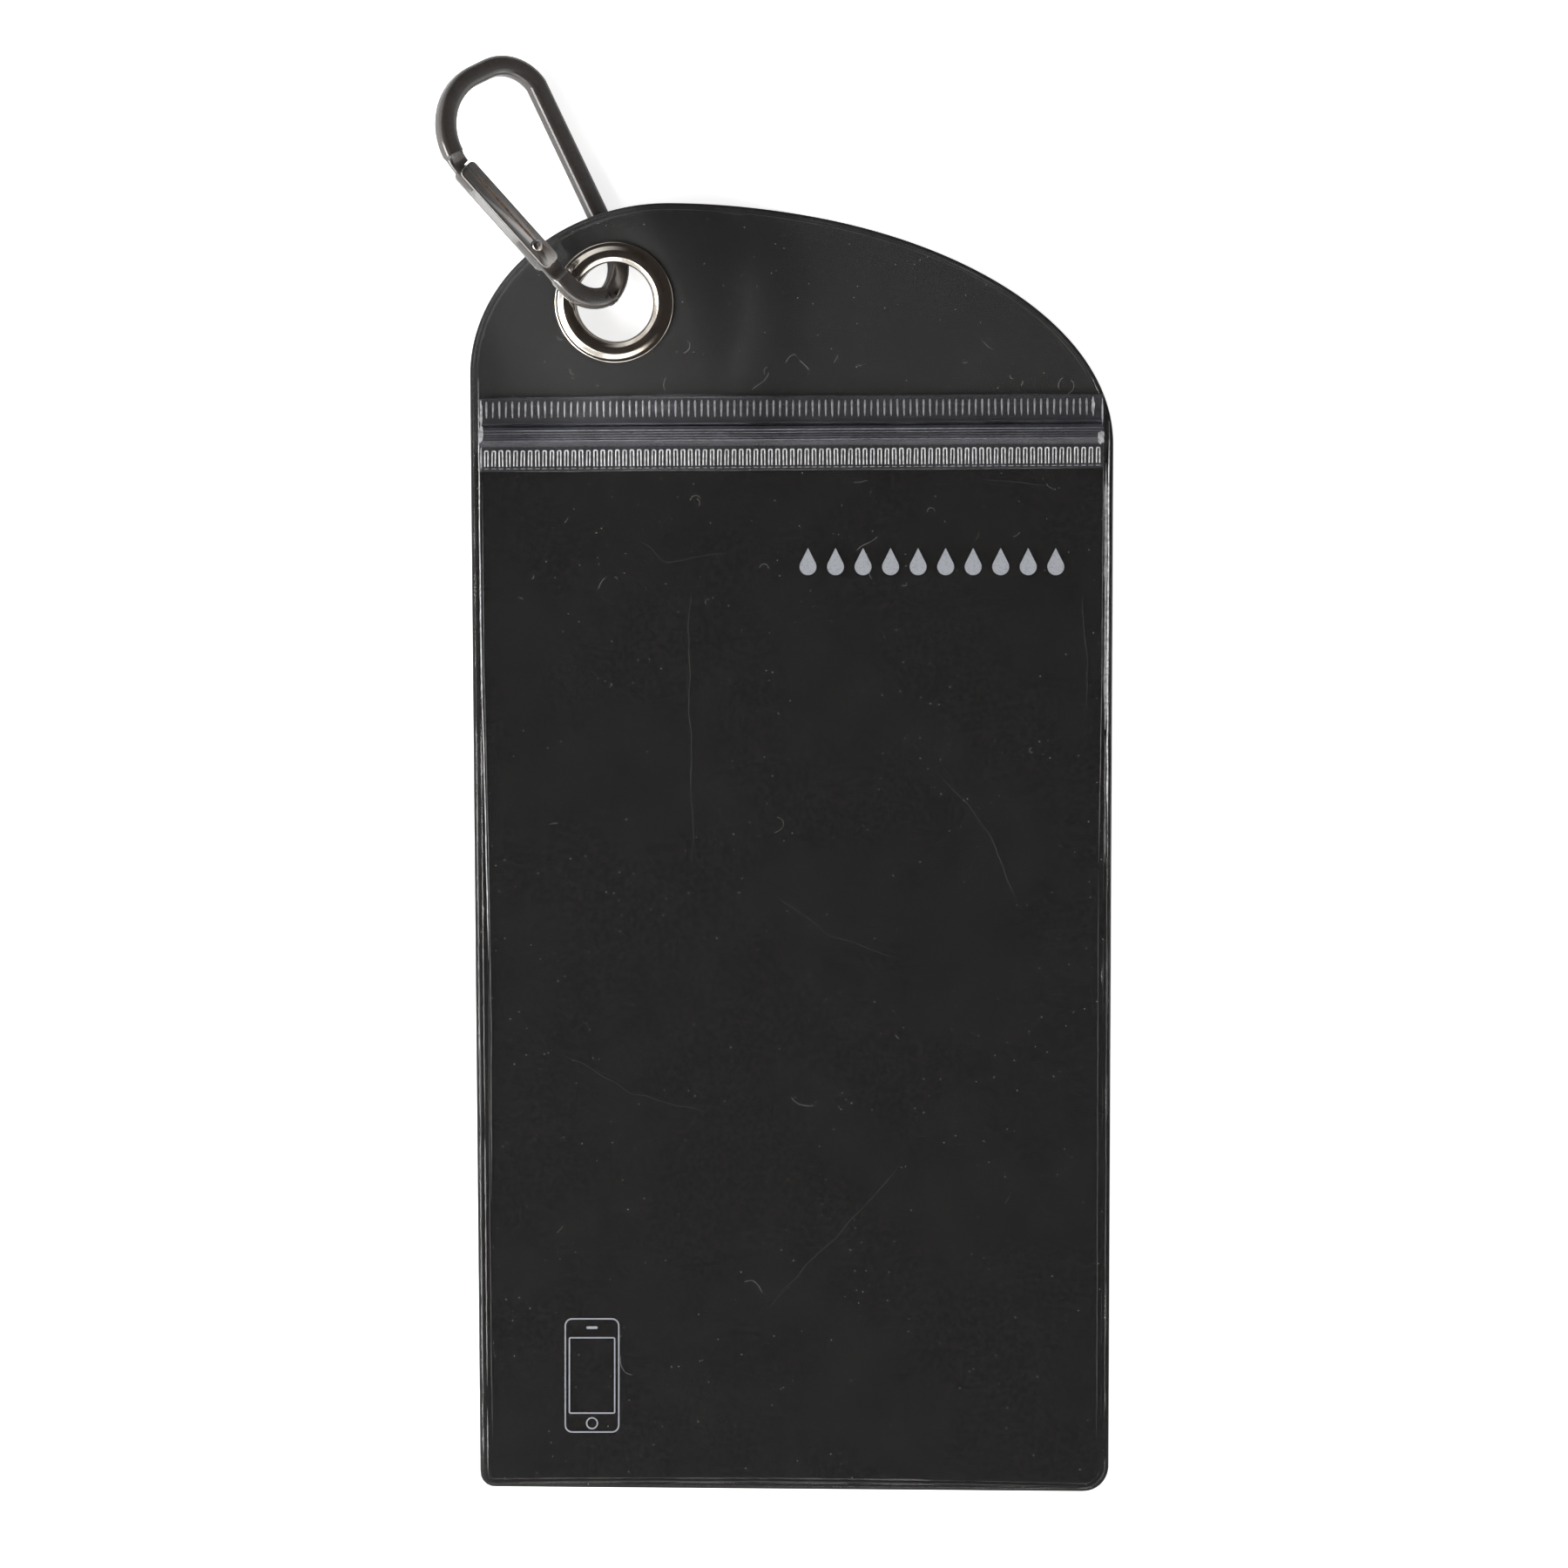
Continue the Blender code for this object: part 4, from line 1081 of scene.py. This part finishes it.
def ragged(x, y, width, height, seed, count=40):
    # a closed outline with torn edges
    loop = []
    for step in range(count):
        a = 2 * math.pi * step / count
        torn = 1 + 0.45 * noise.noise(Vector((3 * math.cos(a), 3 * math.sin(a), seed)))
        loop.append((x + width / 2 * torn * math.cos(a), y + height / 2 * torn * math.sin(a)))
    return np.array(loop)


def makeCrushedEnds():
    # where the strips were melted flat into the side welds; millimetres from an end and above the middle line
    form = bmesh.new()
    top = zipStrip["flangeTop"] + 0.06 * mm
    for order, (end, beside, above, width, height) in enumerate((
        (leftEnd, 0.12, 3.6, 0.42, 4.6),
        (leftEnd, 0.1, 0.0, 0.7, 3.0),
        (leftEnd, 0.15, -4.0, 0.4, 3.6),
        (rightEnd, -1.75, 4.2, 0.5, 2.9),
        (rightEnd, -0.45, -1.1, 1.0, 2.3),
        (rightEnd, -0.2, 3.0, 0.3, 4.0),
    )):
        x = end + beside * mm
        onCap = 0.78 * mm if abs(above) < 1.5 else 0
        loop = ragged(x, zipLine(x) + above * mm, width * mm, height * mm, order + 1.5)
        rings = []
        for level in (-0.1 * mm, 0.03 * mm):
            rings.append([(px, py, top + onCap + level + float(liftAt(px, py))) for px, py in loop])
        addLoft(form, rings)
    lineObject("crushedEnds", form, marked["meltedEnds"], "zip_strip")


def makeCreases():
    form = bmesh.new()
    for order, points in enumerate(lines["creases"]):
        path = evenly(np.array(points) * mm, 1.2 * mm, closed=False)
        for reach, size, apart in ((1.1, 9, 9.0), (0.3, 2.5, 5.0)):
            shift = [wander(path, size * mm, seed) for seed in (order, order + apart)]
            path = path + reach * mm * np.column_stack(shift)
        addLine(form, path, 0.085 * mm, 0.02 * mm, order)
    lineObject("creases", form, marked["creases"])


makeWeldHighlights()
makeRibHighlights()
makeCrushedEnds()
makeCreases()
print("welds, ribs and creases made")

# Dust: flecks scattered by a node tree, and short fibres

dust = {
    "perSquareMetre": 42000.0,
    "fleckRadius": 0.075 * mm,
    "fibreCount": 44,
    "fibreRadius": 0.027 * mm,
    "seed": 12,
}


def scatteredPoints(tree, pick):
    # on the faces that look up
    normal = put(tree, "GeometryNodeInputNormal").outputs[0]
    facing = put(tree, "ShaderNodeSeparateXYZ", {"Vector": normal}).outputs["Z"]
    sockets = {0: facing, 1: 0.7}
    upward = put(tree, "FunctionNodeCompare", sockets, data_type="FLOAT", operation="GREATER_THAN").outputs[0]
    sockets = {"Mesh": pick["Geometry"], "Selection": upward}
    sockets |= {label: pick[label] for label in ("Density", "Seed")}
    return put(tree, "GeometryNodeDistributePointsOnFaces", sockets).outputs[0]


def fleckForm():
    form = bmesh.new()
    bmesh.ops.create_icosphere(form, subdivisions=1, radius=dust["fleckRadius"])
    for vert in form.verts:
        vert.co *= 1 + 0.5 * noise.noise(vert.co / dust["fleckRadius"] * 1.7)
        vert.co.x *= 1.35
        vert.co.z *= 0.5
    return form


def makeFlecks(name, surface, seed):
    values = {"Smallest": 0.35, "Largest": 1.15, "Turn_From": 0.0, "Turn_To": 6.283, "Seed": seed}
    values["Density"] = dust["perSquareMetre"]
    mesh = growCopies(name, fleckForm(), scatterTree, surface.data.copy(), marked["dust"], **values)
    softShade(mesh, 60)
    finishPiece(linkObject(name, mesh, marked["dust"]), "pouch", "clear_film")


def makeFibres():
    # thin curled hairs of lint, more of them near the zip
    chance = random.Random(dust["seed"])
    form = bmesh.new()
    for order in range(dust["fibreCount"]):
        x = chance.uniform(-47, 47) * mm
        y = chance.choice((chance.uniform(-98, 58), chance.uniform(40, 60), chance.uniform(76, 84))) * mm
        angle, bend = chance.uniform(0, 6.28), chance.gauss(0, 0.5)
        length = chance.choice((0.9, 1.4, 2.2, 4.0)) * mm
        path = [(x, y)]
        for _ in range(7):
            angle += bend * 0.5 + chance.gauss(0, 0.15)
            x, y = x + length / 7 * math.cos(angle), y + length / 7 * math.sin(angle)
            path.append((x, y))
        path = np.array(path)
        if (edgeDistance(path, outerLoop) < 3 * mm).any() or not isInside(path, outerLoop).all():
            continue
        tops = filmTopAt(path)
        radius = dust["fibreRadius"] * chance.uniform(0.7, 1.3)
        addSweep(form, path, [roundSection(radius, 5, top + radius) for top in tops])
    lineObject("fibres", form, marked["fibres"])


scatterInputs = [("Density", "NodeSocketFloat", 1000.0)]
scatterTree = makeCopyTree("scatteredFlecks", scatterInputs, scatteredPoints, False)
makeFlecks("flecksWindow", windowFilm, 5)
makeFlecks("flecksHeader", headerFilm, 8)
makeFibres()
print("dust made")

# Eyelet: plated flange with its barrel and rolled edge, and the ring behind, in millimetres

eyeletRing = {
    "segments": 160,
    "bore": 6.57,
    "barrel": 6.95,
    "low": 0.95,
    "top": 1.6,
    "rimRadius": 9.96,
    "washerRadius": 9.8,
    "washerHole": 7.15,
}


def makeTurned(name, profile, node):
    rings = []
    for step in range(eyeletRing["segments"]):
        a = 2 * math.pi * step / eyeletRing["segments"]
        rings.append([(r * mm * math.cos(a), r * mm * math.sin(a), z * mm) for r, z in profile])
    form = loftRings(rings, closed=True)
    place = Matrix.Translation((eyelet["x"], eyelet["y"], eyelet["height"]))
    bmesh.ops.transform(form, matrix=place @ Matrix.Rotation(eyelet["tilt"], 4, along), verts=form.verts)
    finishPiece(linkObject(name, meshFrom(form, name, 50), nickelPlate), "pouch", "nickel", node)


def flangeProfile():
    low, top = eyeletRing["low"], eyeletRing["top"]
    bore, barrel, rim = eyeletRing["bore"], eyeletRing["barrel"], eyeletRing["rimRadius"]
    # inside of the barrel, rolled outwards behind the ring
    profile = [(bore, -0.6), (bore + 0.05, -0.85), (bore + 0.2, -1.0), (barrel, -1.05), (8.0, -1.05)]
    profile += [(8.12, -0.98), (8.15, -0.87), (8.1, -0.76), (7.95, -0.7), (barrel, -0.7), (barrel, low)]
    # rim, step, outer slope, flat crown and inner slope
    profile += [(rim - 0.03, low), (rim, low + 0.05), (rim, low + 0.14), (rim - 0.07, low + 0.2)]
    profile += [(9.72, low + 0.22), (9.5, low + 0.2), (9.38, low + 0.24), (9.33, low + 0.25)]
    profile += [(9.26, low + 0.28), (8.98, low + 0.42)]
    profile += [(8.72, top - 0.10), (8.62, top - 0.06), (8.5, top - 0.025)]
    profile += [(8.36, top - 0.005), (8.2, top), (7.9, top), (7.66, top - 0.005)]
    profile += [(7.62 - share * 0.84, top - 0.42 * share**1.35) for share in np.linspace(0.1, 1, 8)]
    return profile + [(bore + 0.1, top - 0.56), (bore, top - 0.75)]


def washerProfile():
    inner, outer = eyeletRing["washerHole"], eyeletRing["washerRadius"]
    profile = [(inner, -0.5), (inner + 0.4, -0.5), (outer - 0.12, -0.5), (outer - 0.03, -0.46)]
    return profile + [(outer, -0.38), (outer, -0.25), (outer - 0.05, -0.2), (inner, -0.2)]


makeTurned("eyeletFlange", flangeProfile(), "eyelet_flange")
makeTurned("eyeletBack", washerProfile(), "eyelet_washer")
print("eyelet made")

# Hook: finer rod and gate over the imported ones, set out in the hook's own plane

hook = {
    "spineLength": 41.5 * mm,
    "crown": (-41.0 * mm, -15.8 * mm),
    "nose": (-32.3 * mm, -21.2 * mm),
    "foot": (1.9 * mm, -9.2 * mm),
    "bendRadii": (6.2 * mm, 7.2 * mm, 7.2 * mm, 10.1 * mm, 9.8 * mm),
    "bendStep": math.radians(3),
    "rodWidth": 3.35 * mm,
    "rodDepth": 2.66 * mm,
    "edgeRadius": 0.90 * mm,
    "edgeSteps": 7,
    "gateFromFoot": 10.1 * mm,
    "gateLength": 21.6 * mm,
    "gateWidth": 3.5 * mm,
    "gateDepth": 2.5 * mm,
    "gateWall": 0.4 * mm,
    "gateGap": 0.3 * mm,
    "gateEdge": 0.31 * mm,
    "tongueWidth": 2.3 * mm,
    "noseTongue": 3.8 * mm,
    "hingeTongue": 6.4 * mm,
    "scoopFlat": 0.9 * mm,
    "scoopLength": 1.6 * mm,
    "scoopSteps": 10,
    "pinFromEnd": 3.9 * mm,
}

swingJoint, gateJoint = frame["record"]["behaviour"]["joints"]
hookX = -Vector(swingJoint["axis"]).normalized()
hookZ = -Vector(gateJoint["axis"]).normalized()
hookPlace = Matrix((hookX, hookZ.cross(hookX), hookZ)).transposed().to_4x4()
hookPlace.translation = Vector(swingJoint["pos_m"])


def bendPoints(before, corner, after, radius):
    # the arc that rounds a corner
    back = (before - corner).normalized()
    ahead = (after - corner).normalized()
    half = back.angle(ahead) / 2
    centre = corner + (back + ahead).normalized() * radius / math.sin(half)
    first = corner + back * radius / math.tan(half) - centre
    sweep = (math.pi - 2 * half) * (1 if back.cross(ahead) < 0 else -1)
    steps = math.ceil(abs(sweep) / hook["bendStep"])
    return [centre + Matrix.Rotation(sweep * step / steps, 2) @ first for step in range(steps + 1)]


def hookLine():
    # the rod's centre line from the hinge end round the foot, up the spine and over to the nose end
    spineFoot, spineHead = Vector((0, 0)), Vector((-hook["spineLength"], 0))
    corners = [Vector(hook["nose"]), Vector(hook["foot"]), spineFoot, spineHead, Vector(hook["crown"])]
    corners += corners[:2]
    gateWay = (corners[0] - corners[1]).normalized()
    low = corners[1] + gateWay * hook["gateFromFoot"]
    high = low + gateWay * hook["gateLength"]
    line = []
    for place, radius in enumerate(hook["bendRadii"]):
        line += bendPoints(corners[place], corners[place + 1], corners[place + 2], radius)
    first, last = low - gateWay * hook["gateGap"], high + gateWay * hook["gateGap"]
    apart = 0.2 * mm
    line = [p for p in line if (first - p).dot(gateWay) > apart or (p - last).dot(gateWay) > apart]
    return [first, *line, last], low, high, gateWay


def rodSection(low, high, halfDepth):
    radius = min(hook["edgeRadius"], halfDepth * 0.98, (high - low) * 0.49)
    steps = hook["edgeSteps"]
    section = []
    for x, y, start in (
        (high - radius, halfDepth - radius, 0.0),
        (low + radius, halfDepth - radius, 0.5),
        (low + radius, radius - halfDepth, 1.0),
        (high - radius, radius - halfDepth, 1.5),
    ):
        section += arcPoints(x, y, radius, radius, start * math.pi, (start + 0.5) * math.pi, steps)
    return section


def rodHalfDepth(distance):
    # the ends are pressed flat beside the gate, with a hollow run-out to the full depth
    flat = hook["gateDepth"] / 2 - hook["gateWall"] - hook["gateGap"]
    share = min(max((distance - hook["scoopFlat"]) / hook["scoopLength"], 0.0), 1.0)
    return flat + (hook["rodDepth"] / 2 - flat) * share**2


def rodRing(point, forward, section):
    side = Vector((-forward.y, forward.x))
    return [(*(point + side * sideways), deep) for sideways, deep in section]


def makeRod():
    line, low, high, gateWay = hookLine()
    half, gap = hook["rodWidth"] / 2, hook["gateGap"]
    travelled = [0.0]
    for before, after in zip(line, line[1:]):
        travelled.append(travelled[-1] + (after - before).length)
    total = travelled[-1]
    flat = hook["scoopFlat"]
    runOut = np.linspace(flat, flat + hook["scoopLength"], hook["scoopSteps"] + 1)
    between = [d for d in travelled if runOut[-1] < d < total - runOut[-1]]
    stations = [0.0, *runOut, *between, *(total - runOut[::-1]), total]

    def pointAt(distance):
        distance = min(max(distance, 0), total)
        return Vector([np.interp(distance, travelled, [point[axis] for point in line]) for axis in (0, 1)])

    tongue = rodSection(-half, hook["tongueWidth"] - half, rodHalfDepth(0))
    rings = [rodRing(low + gateWay * place, -gateWay, tongue) for place in (hook["hingeTongue"], -gap)]
    for distance in stations:
        forward = (pointAt(distance + 0.6 * mm) - pointAt(distance - 0.6 * mm)).normalized()
        if distance in (0.0, total):
            forward = -gateWay
        section = rodSection(-half, half, rodHalfDepth(min(distance, total - distance)))
        rings.append(rodRing(pointAt(distance), forward, section))
    rings += [rodRing(high + gateWay * place, -gateWay, tongue) for place in (gap, -hook["noseTongue"])]
    mesh = meshFrom(loftRings(rings), "rod", 38)
    # the bare metal in the hollow at the nose
    noseEnd = Vector((*high, 0))
    for face in mesh.polygons:
        away = face.center - noseEnd
        if away.length < 3 * mm and 1.2 * mm < away.dot(gateWay.to_3d()) < 2.2 * mm and face.normal.z > 0.6:
            face.material_index = 1
    return dressHook("rod", mesh, blackAnodised, cutSteel)


def dressHook(name, mesh, *materials):
    for material in materials:
        mesh.materials.append(material)
    mesh.transform(hookPlace)
    item = bpy.data.objects.new(name, mesh)
    bpy.context.scene.collection.objects.link(item)
    return item


def gatePlace():
    # from the pin along the gate, in the hook's own plane
    _, low, _, gateWay = hookLine()
    pin = low + gateWay * hook["pinFromEnd"]
    return Matrix.Translation((*pin, 0)) @ Matrix.Rotation(math.atan2(gateWay.y, gateWay.x), 4, "Z")


def makeGate():
    # the imported gate with its edges rounded; the inside of the channel is a near-white dull face, a painted
    # highlight, and the rounded outer edges are near white, a painted highlight too
    place = gatePlace()
    form = bmesh.new()
    form.from_mesh(nodes["carabiner_gate"].data)
    bmesh.ops.remove_doubles(form, verts=form.verts, dist=1e-6)
    bmesh.ops.transform(form, matrix=(hookPlace @ place).inverted(), verts=form.verts)
    bmesh.ops.dissolve_limit(form, angle_limit=math.radians(2), verts=form.verts, edges=form.edges)
    halfDepth = hook["gateDepth"] / 2
    webFace = hook["gateWall"] - hook["gateWidth"] / 2
    # faces inside the channel take the near-white material, a painted highlight
    for face in form.faces:
        middle = face.calc_center_median()
        inward = abs(middle.z) < halfDepth - hook["gateWall"] + 0.02 * mm and middle.y > webFace - 0.02 * mm
        face.material_index = 1 if inward and abs(face.normal.x) < 0.5 else 0
    outer = []
    for edge in form.edges:
        level = abs((edge.verts[0].co.z + edge.verts[1].co.z) / 2)
        if edge.is_manifold and edge.calc_face_angle() > math.radians(50) and level > halfDepth - 0.05 * mm:
            outer.append(edge)
    # the bevelled faces take the near-white edge material, a painted highlight
    rounded = {"segments": 3, "profile": 0.5, "affect": "EDGES", "clamp_overlap": True, "material": 2}
    bmesh.ops.bevel(form, geom=outer, offset=hook["gateEdge"], **rounded)
    bmesh.ops.transform(form, matrix=place, verts=form.verts)
    return dressHook("gate", meshFrom(form, "gate", 38), brightSteel, channelHighlightSteel, edgeHighlightSteel)


def makeReflectionStreak():
    # a painted reflection: a warm brown streak along the middle of the front plate
    high, low = hook["gateDepth"] / 2 + 0.012 * mm, hook["gateDepth"] / 2 - 0.02 * mm
    rings = []
    for share in np.linspace(0, 1, 24):
        x = (share * 16.5 - 1.4) * mm
        half = (0.19 + 0.10 * noise.noise(Vector((share * 9, 0.3, 0)))) * mm
        y = (-0.25 + 0.10 * noise.noise(Vector((share * 4, 2.3, 0)))) * mm
        rings.append([(x, y - half, high), (x, y + half, high), (x, y + half, low), (x, y - half, low)])
    form = loftRings(rings)
    bmesh.ops.transform(form, matrix=gatePlace(), verts=form.verts)
    return dressHook("gateStreak", meshFrom(form, "gateStreak", 60), marked["paintedReflectionStreak"])


finishPiece(makeRod(), "carabiner", "black_anodised", "carabiner_body")
finishPiece(makeReflectionStreak(), "gate", "bright_steel")
finishPiece(makeGate(), "gate", "bright_steel", "carabiner_gate")
for name in ("gate_rivet", "gate_spring"):
    nodes[name].data.materials.clear()
    nodes[name].data.materials.append(brightSteel)
print("hook made")

# Stage: camera straight above, pale floor, soft boxes at the left and the front

stage = {
    "frameWidth": 258.84 * mm,
    "centreX": -1.26 * mm,
    "centreY": 10.03 * mm,
    "cameraHeight": 3.0,
    "filmPlane": 0.75 * mm,
    "floorSize": 14.0,
    "boxes": (
        ("leftBox", (-0.66, -0.20, 0.36), (0.5, 0.5), 8.0, (1.0, 0.99, 0.98)),
        ("frontBox", (-0.05, -0.66, 0.36), (0.7, 0.40), 1.8, (1.0, 0.99, 0.97)),
        ("rightBox", (0.62, -0.30, 0.22), (0.35, 0.30), 1.1, (1.0, 0.95, 0.90)),
    ),
}


def makeStage():
    half = stage["floorSize"] / 2
    mesh = bpy.data.meshes.new("floor")
    corners = [(x, y, -0.02 * mm) for x, y in ((-half, -half), (half, -half), (half, half), (-half, half))]
    mesh.from_pydata(corners, [], [(0, 1, 2, 3)])
    material, tree, shader = newMaterial("paleFloor", 0.9)
    shader.inputs["Base Color"].default_value = (0.86, 0.86, 0.86, 1)
    path = put(tree, "ShaderNodeLightPath")
    seen = calculated(tree, "MAXIMUM", path.outputs["Is Camera Ray"], path.outputs["Is Transmission Ray"])
    glossy = calculated(tree, "MULTIPLY", path.outputs["Is Glossy Ray"], 0.10)
    shader.inputs["Emission Color"].default_value = (1, 1, 1, 1)
    strength = calculated(tree, "MAXIMUM", calculated(tree, "MULTIPLY", seen, 0.78), glossy)
    tree.links.new(strength, shader.inputs["Emission Strength"])
    linkObject("floor", mesh, material)


def makeWorld():
    # dark above, bright to the left and the front, low on the right, and along the horizon
    world = bpy.data.worlds.new("softRoom")
    bpy.context.scene.world = world
    world.use_nodes = True
    tree = world.node_tree
    ground = tree.nodes["Background"]
    place = put(tree, "ShaderNodeTexCoord").outputs["Generated"]
    parts = put(tree, "ShaderNodeSeparateXYZ", {"Vector": place}).outputs

    def towards(direction):
        sockets = {0: place, 1: direction}
        return put(tree, "ShaderNodeVectorMath", sockets, operation="DOT_PRODUCT").outputs["Value"]

    toFront, toRight = towards((-1.0, -0.25, 0)), towards((0.9, -0.44, 0))
    height = parts["Z"]
    front = calculated(tree, "MULTIPLY", ranged(tree, toFront, -0.10, 0.50), ranged(tree, height, 0.82, 0.64))
    right = calculated(tree, "MULTIPLY", ranged(tree, toRight, 0.50, 0.72), ranged(tree, height, 0.68, 0.58))
    sockets = {"Value": toFront, "From Min": -0.35, "From Max": 0.5, "To Min": 0.10, "To Max": 1.0}
    dimmer = put(tree, "ShaderNodeMapRange", sockets).outputs[0]
    horizon = calculated(tree, "MULTIPLY", ranged(tree, height, 0.54, 0.28), dimmer)
    amount = calculated(tree, "MAXIMUM", calculated(tree, "MAXIMUM", front, right), horizon)
    tree.links.new(mixed(tree, amount, (0.036, 0.031, 0.028, 1), (1.0, 1.0, 1.0, 1)), ground.inputs["Color"])
    ground.inputs["Strength"].default_value = 1.0


def makeLamps():
    for name, place, size, radiance, colour in stage["boxes"]:
        lamp = bpy.data.lights.new(name, "AREA")
        lamp.shape = "RECTANGLE"
        lamp.size, lamp.size_y = size
        lamp.energy = radiance * math.pi * size[0] * size[1]
        lamp.color = colour
        item = bpy.data.objects.new(name, lamp)
        bpy.context.scene.collection.objects.link(item)
        item.location = place
        item.rotation_euler = (-Vector(place)).to_track_quat("-Z", "Y").to_euler()
        item.visible_camera = False


def makeCamera():
    data = bpy.data.cameras.new("camera")
    distance = stage["cameraHeight"] - stage["filmPlane"]
    data.sensor_width = 36.0
    data.lens = data.sensor_width * distance / stage["frameWidth"]
    data.clip_end = 20.0
    camera = bpy.data.objects.new("camera", data)
    bpy.context.scene.collection.objects.link(camera)
    camera.location = (stage["centreX"], stage["centreY"], stage["cameraHeight"])
    bpy.context.scene.camera = camera


makeStage()
makeWorld()
makeLamps()
makeCamera()
bpy.context.scene.view_settings.view_transform = "Standard"
